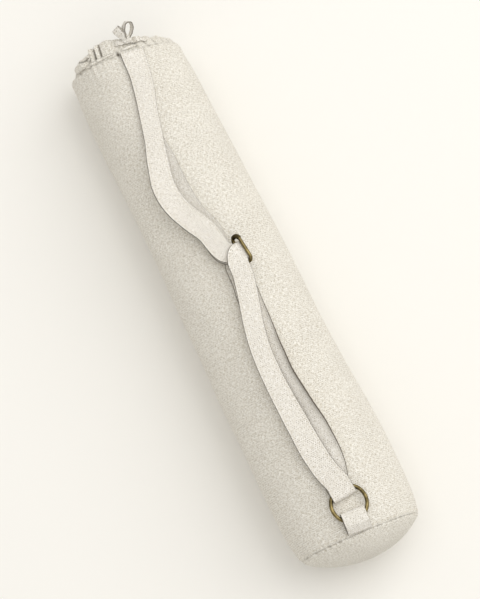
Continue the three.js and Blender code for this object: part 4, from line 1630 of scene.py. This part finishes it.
@dataclass
class Straps:
    """The shoulder strap, the lower strap and the ring's tab, with their stitches."""

    plan: StrapPlan
    finishes: Finishes
    trees: GeometryTrees
    stitching: Stitching = Stitching()

    def upper(self) -> FoldedBand:
        """Routes the upper strap: over the bag, round the slider's bar and back as a tail.

        Returns:
            The band.
        """
        plan, slider, neck = self.plan, self.plan.slider, self.plan.neck
        eased, square = plan.neck + plan.neck_ease, -plan.square_run
        along, right, up = plan.upper_at_slider
        front = plan.laid([
            *plan.route(UPPER_FRONT),
            ControlRow(slider.at(along, right, plan.inner_turn + up), 0, eased),
            ControlRow(slider.at(0, square, plan.inner_turn), 0, neck),
            ControlRow(slider.at(0, 0, plan.inner_turn), 0, neck),
        ], False)
        tail = plan.laid([
            ControlRow(slider.at(0, 0, -plan.inner_turn), 0, neck),
            ControlRow(slider.at(0, square, -plan.inner_turn), 0, neck),
            ControlRow(slider.at(along, right, -plan.inner_turn - up), 0, eased),
            *plan.route(UPPER_TAIL),
        ], True)
        fold = plan.half_turn(
            slider.origin, slider.to_right, slider.up, plan.inner_turn, -slider.to_base, neck, False
        )
        stations = [*front, *fold, *tail]
        # the upper strap is painted with shade along its edges and, lightly, on its back face
        return FoldedBand("upper_strap", stations, plan.thick, False, right_edge_shade=0.4, back_face_shade=0.1)

    def lower(self) -> FoldedBand:
        """Routes the lower strap: a flat loop between the slider's bar and the ring.

        Returns:
            The band.
        """
        plan, slider, ring = self.plan, self.plan.slider, self.plan.ring
        neck, eased, width = plan.neck, plan.neck + plan.neck_ease, plan.width
        chord, square = plan.chord, plan.square_run
        along, right, up = plan.lower_at_slider
        front = plan.laid([
            ControlRow(slider.at(0, 0, plan.outer_turn), 0, neck),
            ControlRow(slider.at(0, -square, plan.outer_turn), 0, neck),
            ControlRow(slider.at(along, right, plan.outer_turn + up), 0, eased),
            *plan.route(LOWER_FRONT),
            ControlRow(ring.at(-chord - plan.ring_approach, 0, plan.wire_turn + up), 0, width),
            ControlRow(ring.at(-chord - square, 0, plan.wire_turn), 0, width),
            ControlRow(ring.at(-chord, 0, plan.wire_turn), 0, width),
        ], False)
        back = plan.laid([
            ControlRow(ring.at(-chord, 0, -plan.wire_turn), 0, width),
            ControlRow(ring.at(-chord - square, 0, -plan.wire_turn), 0, width),
            ControlRow(ring.at(-chord - plan.ring_approach, 0, -plan.wire_turn), 0, width),
            *plan.route(LOWER_BACK),
            ControlRow(slider.at(along, right, -plan.outer_turn - up), 0, eased),
            ControlRow(slider.at(0, -square, -plan.outer_turn), 0, neck),
            ControlRow(slider.at(0, 0, -plan.outer_turn), 0, neck),
        ], True)
        ring_fold = plan.half_turn(
            ring.at(-chord, 0, 0), ring.to_base, ring.up, plan.wire_turn, ring.to_right, width, False
        )
        slider_fold = plan.half_turn(
            slider.origin, slider.to_right, slider.up, plan.outer_turn, slider.to_base, neck, True
        )
        stations = [*front, *ring_fold, *back, *slider_fold]
        # the lower strap is painted with shade along both edges, and on its back ply's face near the right
        # edge
        return FoldedBand(
            "lower_strap_loop", stations, plan.thick, True, right_edge_shade=0.75, painted_gutter=(0.715, 0.1)
        )

    def tab(self) -> FoldedBand:
        """Routes the tab: from the base seam, round the ring and back to the seam.

        Returns:
            The band.
        """
        plan, tab, width = self.plan, self.plan.tab, self.plan.width
        chord, square = plan.chord, plan.square_run
        past_wire = plan.ring_inside + plan.ring_wire + plan.past_wire
        right = plan.ring_across + math.tan(math.radians(plan.tab_turn)) * plan.ring_to_seam
        at_seam = plan.form.length - plan.tab_seam_gap
        upper = plan.laid([
            ControlRow(plan.form.over(at_seam, right, plan.seat + plan.ply_gap), 0, width),
            ControlRow(tab.at(past_wire, 0, plan.wire_turn), 0, width),
            ControlRow(tab.at(chord + square, 0, plan.wire_turn), 0, width),
            ControlRow(tab.at(chord, 0, plan.wire_turn), 0, width),
        ], True)
        lower = plan.laid([
            ControlRow(tab.at(chord, 0, -plan.wire_turn), 0, width),
            ControlRow(tab.at(chord + square, 0, -plan.wire_turn), 0, width),
            ControlRow(tab.at(past_wire, 0, -plan.wire_turn - plan.tab_lift), 0, width),
            ControlRow(plan.form.over(at_seam, right, plan.seat), 0, width),
        ], False)
        fold = plan.half_turn(
            tab.at(chord, 0, 0), -tab.to_base, tab.up, plan.wire_turn, tab.to_right, width, False
        )
        # the tab keeps the band's own painted shade along its edges
        return FoldedBand("ring_holding_tab", [*upper, *fold, *lower], plan.thick, False)

    def sew(self, name: str, lines: list[list[Vector]]) -> None:
        """Lays stitches along lines.

        Args:
            name: The stitches' name.
            lines: The lines that they follow.
        """
        source = polyline_object(name, lines, False)
        values = self.stitching.values(self.finishes.thread)
        dress(self.trees.grow(source, self.trees.stitches, values), Slot.WEBBING)

    def build(self) -> None:
        """Builds the three bands and their stitches."""
        for band, node in (
            (self.upper(), "shoulder_strap"), (self.lower(), "lower_strap"), (self.tab(), "ring_tab"),
        ):
            dress(mesh_piece(band.name, [band.shell()], self.finishes.webbing), Slot.WEBBING, node)
            self.sew(band.name + "_stitches", band.stitch_lines())


@dataclass
class BrassWork:
    """The base ring and the slider loop."""

    plan: StrapPlan
    finishes: Finishes
    trees: GeometryTrees
    sleeve_wall: float = 0.0007
    sleeve_points: int = 13
    ring_points: int = 96
    sides: int = 20

    def ring_line(self) -> list[Vector]:
        """The middle line of the ring's wire.

        Returns:
            Points of a closed line.
        """
        plan = self.plan
        radius = plan.ring_inside + plan.ring_wire / 2
        angles = [2 * math.pi * i / self.ring_points for i in range(self.ring_points)]
        return [plan.ring.at(radius * math.cos(a), radius * math.sin(a), 0) for a in angles]

    def slider_line(self) -> list[Vector]:
        """The middle line of the slider's wire: a long loop with rounded corners, raised to the right.

        Returns:
            Points of a closed line, bend by bend.
        """
        plan = self.plan
        tilt = math.radians(plan.slider_tilt)
        raised = plan.slider.to_right * math.cos(tilt) + plan.slider.up * math.sin(tilt)
        half_length = (plan.neck + 2 * plan.slider_side_gap) / 2 + plan.slider_wire / 2
        half_spacing = plan.bar_spacing / 2
        corner, quarter, line = min(half_spacing, plan.slider_bend), 9, []
        for i, (u, v) in enumerate(((1, 1), (-1, 1), (-1, -1), (1, -1))):
            for k in range(quarter + 1):
                angle = math.radians(90 * i + 90 * k / quarter)
                along = u * (half_length - corner) + corner * math.cos(angle) - plan.slider_shift
                across = half_spacing + v * (half_spacing - corner) + corner * math.sin(angle)
                line.append(plan.slider.origin + plan.slider.to_base * along + raised * across)
        return line

    def sleeve_line(self) -> list[Vector]:
        """The middle line of the sleeve that joins the wire's ends, round the slider's upper left bend.

        Returns:
            Points of an open line.
        """
        bends = self.slider_line()
        count = len(bends) // 4
        return bends[count : count + self.sleeve_points]

    def build(self) -> None:
        """Bends both wires and closes the slider's with its sleeve."""
        sleeve = polyline_object("slider_sleeve", [self.sleeve_line()], False)
        radius = self.plan.slider_wire / 2 + self.sleeve_wall
        values = {"Wire Radius": radius, "Sides": self.sides, "Finish": self.finishes.dark_brass}
        dress(self.trees.grow(sleeve, self.trees.wire, values), Slot.BRASS)
        for name, line, wire, node in (
            ("ring_wire", self.ring_line(), self.plan.ring_wire, "base_ring"),
            ("slider_wire", self.slider_line(), self.plan.slider_wire, "slider_loop"),
        ):
            source = polyline_object(name, [line], True)
            values = {"Wire Radius": wire / 2, "Sides": self.sides, "Finish": self.finishes.brass}
            dress(self.trees.grow(source, self.trees.wire, values), Slot.BRASS, node)


@dataclass
class Drawstring:
    """The flat tape that closes the mouth, tied at the front in a bow with two loops."""

    form: BagForm
    collar: GatheredCollar
    finishes: Finishes
    width: float = 0.007
    loop_width: float = 0.0098
    thick: float = 0.0017
    loop_length: float = 0.021
    loop_open: float = 0.008
    knot_size: float = 0.012
    tape_from: float = 0
    tape_to: float = -34
    tape_share: float = 0.72
    tape_lift: float = 0.0008
    knot_at: float = -13
    knot_out: float = 0.0029
    knot_past: float = 0.002
    # how much narrower the tape is at the knot, and over how many degrees
    tied_narrow: tuple[float, float] = (0.2, 6.0)
    # the knot's half axes as shares of its half size: along the bag, across it and up
    knot_axes: tuple[float, float, float] = (0.9, 1.05, 0.66)
    knot_pole: float = 0.06
    # the loop's width at the knot, and how much more it has past it
    loop_pinch: tuple[float, float] = (0.6, 0.4)
    loop_widens: float = 2.2
    # the way out, the way that the loop opens, its length and its opening
    loops: tuple = (
        ((0.9, 0.36, 0.2), (-0.2, 0.25, 0.95), 0.88, 0.85),
        ((0.83, -0.5, 0.2), (0.42, 0.76, 0.4), 1.0, 1.15),
    )
    loop_shape: tuple = (
        (0, 0.12), (0.3, 0.42), (0.72, 0.56), (0.97, 0.3),
        (0.97, -0.3), (0.72, -0.56), (0.3, -0.42), (0, -0.12),
    )

    def tape_station(self, around: float) -> Station:
        """One place of the tape on the collar.

        Args:
            around: Degrees round the mouth.

        Returns:
            The station.
        """
        outset = self.thick / 2 + self.collar.gap + self.tape_lift

        def on(share: float) -> Vector:
            """A point off the collar's outer face."""
            place = self.collar.surface(np.array(share), np.array(around), -outset)
            return Vector([float(c) for c in place])

        side = (on(1.0) - on(0.5)).normalized()
        narrow, reach = self.tied_narrow
        width = self.width * (1 - narrow * float(hump(np.array(around - self.knot_at), reach)))
        return Station(on(self.tape_share), side, width)

    def knot_middle(self) -> Vector:
        """The middle of the knot."""
        tied = self.tape_station(self.knot_at).point
        return tied + self.form.up(tied) * self.knot_out + Vector((self.knot_past, 0, 0))

    def tape(self) -> ClothShell:
        """The tape across the front of the mouth.

        Returns:
            A closed shell.
        """
        turns = np.linspace(self.tape_from, self.tape_to, 61)
        stations = [self.tape_station(float(around)) for around in turns]
        # the tape is painted with shade along both edges
        return FoldedBand(
            "tape", stations, self.thick, False,
            pucker=0.0003, pucker_pitch=0.006, left_edge_shade=0.35, right_edge_shade=0.35,
        ).shell()

    def loop(self, out: tuple, face: tuple, length: float, opening: float) -> ClothShell:
        """Bends one loop of the bow.

        Args:
            out: The way out of the knot.
            face: The way that the loop opens.
            length: Its length as a share of the loop length.
            opening: Its opening as a share of the loop opening.

        Returns:
            A closed shell.
        """
        outward = Vector(out).normalized()
        facing = Vector(face)
        facing = (facing - outward * facing.dot(outward)).normalized()
        side = outward.cross(facing)
        middle = self.knot_middle()
        line = smooth_line([
            middle + outward * (u * length * self.loop_length) + facing * (v * opening * self.loop_open)
            for u, v in self.loop_shape
        ], 9)
        stations = []
        for i, point in enumerate(line):
            from_knot = min(i, len(line) - 1 - i) / (len(line) / 2)
            pinch, more = self.loop_pinch
            width = self.loop_width * (pinch + more * min(1.0, from_knot * self.loop_widens))
            stations.append(Station(point, side, width))
        # the loop is painted with shade along both edges and, lightly, on its back face
        return FoldedBand(
            "loop", stations, self.thick, False,
            pucker=0.00025, pucker_pitch=0.007, left_edge_shade=0.75, right_edge_shade=0.75, back_face_shade=0.12,
        ).shell()

    def knot(self) -> ClothShell:
        """The soft lump that the loops come out of, with the folds of its shape.

        Returns:
            A closed shell.
        """
        middle = self.knot_middle()
        rows, columns = 20, 40
        polar = np.linspace(self.knot_pole, math.pi - self.knot_pole, rows)[:, None]
        turn = (np.arange(columns) * 2 * math.pi / columns)[None, :]
        crease = 1 - 0.12 * np.cos(3 * turn + 2 * polar) ** 8 - 0.08 * np.cos(2 * turn - 3 * polar) ** 10
        reach = self.knot_size / 2 * crease
        long, wide, high = self.knot_axes
        points = np.stack(np.broadcast_arrays(
            middle.x + long * reach * np.sin(polar) * np.cos(turn),
            middle.y + wide * reach * np.sin(polar) * np.sin(turn),
            middle.z + high * reach * np.cos(polar),
        ), -1)
        flat = np.stack(np.broadcast_arrays(
            np.arange(columns + 1)[None, :] * 0.001, np.linspace(0, 0.02, rows)[:, None]
        ), -1)
        return ClothShell(points, flat, False)

    def build(self) -> None:
        """Builds the tied tape as one piece."""
        shells = [self.tape(), self.knot(), *(self.loop(*row) for row in self.loops)]
        dress(mesh_piece("tied_drawstring", shells, self.finishes.webbing), Slot.WEBBING, "drawstring_bow")


@dataclass
class Studio:
    """The pale floor, the soft light and the camera at the photograph's angle."""

    tilt: float = 7.5
    lean: float = 26.37
    distance: float = 5.0
    scale: float = 0.001178
    image_long_side: int = 599
    sensor: float = 36.0
    target: tuple = (-0.00325, 0.0, 0.149)
    target_offset: tuple = (-2.1, -8.7)
    lit: tuple = (0, 0, 0.05)
    floor_half: float = 9.0
    floor_drop: float = 0.0002
    room_light: float = 0.68

    def camera(self) -> None:
        """Points a long lens down at the bag, so that the bag leans as in the photograph."""
        tilt, lean = math.radians(self.tilt), math.radians(self.lean)
        to_base = Vector((-math.cos(tilt), 0, -math.sin(tilt)))
        to_right = Vector((0, -1, 0))
        right = to_base * math.sin(lean) + to_right * math.cos(lean)
        up = -to_base * math.cos(lean) + to_right * math.sin(lean)
        back = right.cross(up)
        dx, dy = self.target_offset
        middle = Vector(self.target) - right * dx * self.scale + up * dy * self.scale
        data = bpy.data.cameras.new("camera")
        data.sensor_width = self.sensor
        data.lens = self.distance * self.sensor / (self.scale * self.image_long_side)
        data.clip_end = 50
        camera = placed("camera", data)
        turned = Matrix((right, up, back)).transposed().to_4x4()
        camera.matrix_world = Matrix.Translation(middle + back * self.distance) @ turned
        bpy.context.scene.camera = camera

    def lamp(self, name: str, place: tuple, size: float, power: float, colour: tuple) -> None:
        """Hangs a soft square lamp that looks at the bag.

        Args:
            name: The lamp's name.
            place: Where it hangs.
            size: The length of its side.
            power: In watts.
            colour: Of its light.
        """
        data = bpy.data.lights.new(name, "AREA")
        data.size, data.energy, data.color = size, power, colour
        lamp = placed(name, data)
        hung = Vector(place)
        turned = (Vector(self.lit) - hung).to_track_quat("-Z", "Y").to_matrix().to_4x4()
        lamp.matrix_world = Matrix.Translation(hung) @ turned

    def floor(self) -> None:
        """Lays a wide pale floor."""
        made = bpy.data.materials.new("pale_floor")
        made.use_nodes = True
        shader = made.node_tree.nodes["Principled BSDF"]
        shader.inputs["Base Color"].default_value = srgb(243, 241, 236)
        shader.inputs["Roughness"].default_value = 0.9
        half = self.floor_half
        mesh = bpy.data.meshes.new("floor")
        corners = [(-half, -half, 0), (half, -half, 0), (half, half, 0), (-half, half, 0)]
        mesh.from_pydata(corners, [], [(0, 1, 2, 3)])
        mesh.materials.append(made)
        floor = placed("floor", mesh)
        floor.location.z = -self.floor_drop

    def build(self) -> None:
        """Sets up the studio."""
        scene = bpy.context.scene
        scene.view_settings.view_transform = "Standard"
        world = bpy.data.worlds.new("soft_room")
        world.use_nodes = True
        back = world.node_tree.nodes["Background"]
        back.inputs["Color"].default_value = srgb(255, 253, 249)
        back.inputs["Strength"].default_value = self.room_light
        scene.world = world
        self.floor()
        self.lamp("key", (0.4, -3.0, 3.9), size=4.5, power=105, colour=(1.0, 0.998, 0.99))
        self.lamp("top", (0.6, -0.2, 4.8), size=3.0, power=40, colour=(1.0, 1.0, 1.0))


def main() -> None:
    """Builds the studio and every piece of the bag, in order."""
    logging.basicConfig(level=logging.INFO, format="%(message)s")
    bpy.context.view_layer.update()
    Studio().camera()
    form = BagForm()
    finishes = Finishes.make()
    trees = GeometryTrees()
    plan = StrapPlan(form)
    collar = GatheredCollar(form, finishes)
    for part in (
        CanvasBody(form, finishes, trees),
        collar,
        Straps(plan, finishes, trees),
        BrassWork(plan, finishes, trees),
        Drawstring(form, collar, finishes),
        Studio(),
    ):
        part.build()
        LOG.info("%s is built", type(part).__name__)


if __name__ == "__main__":
    main()
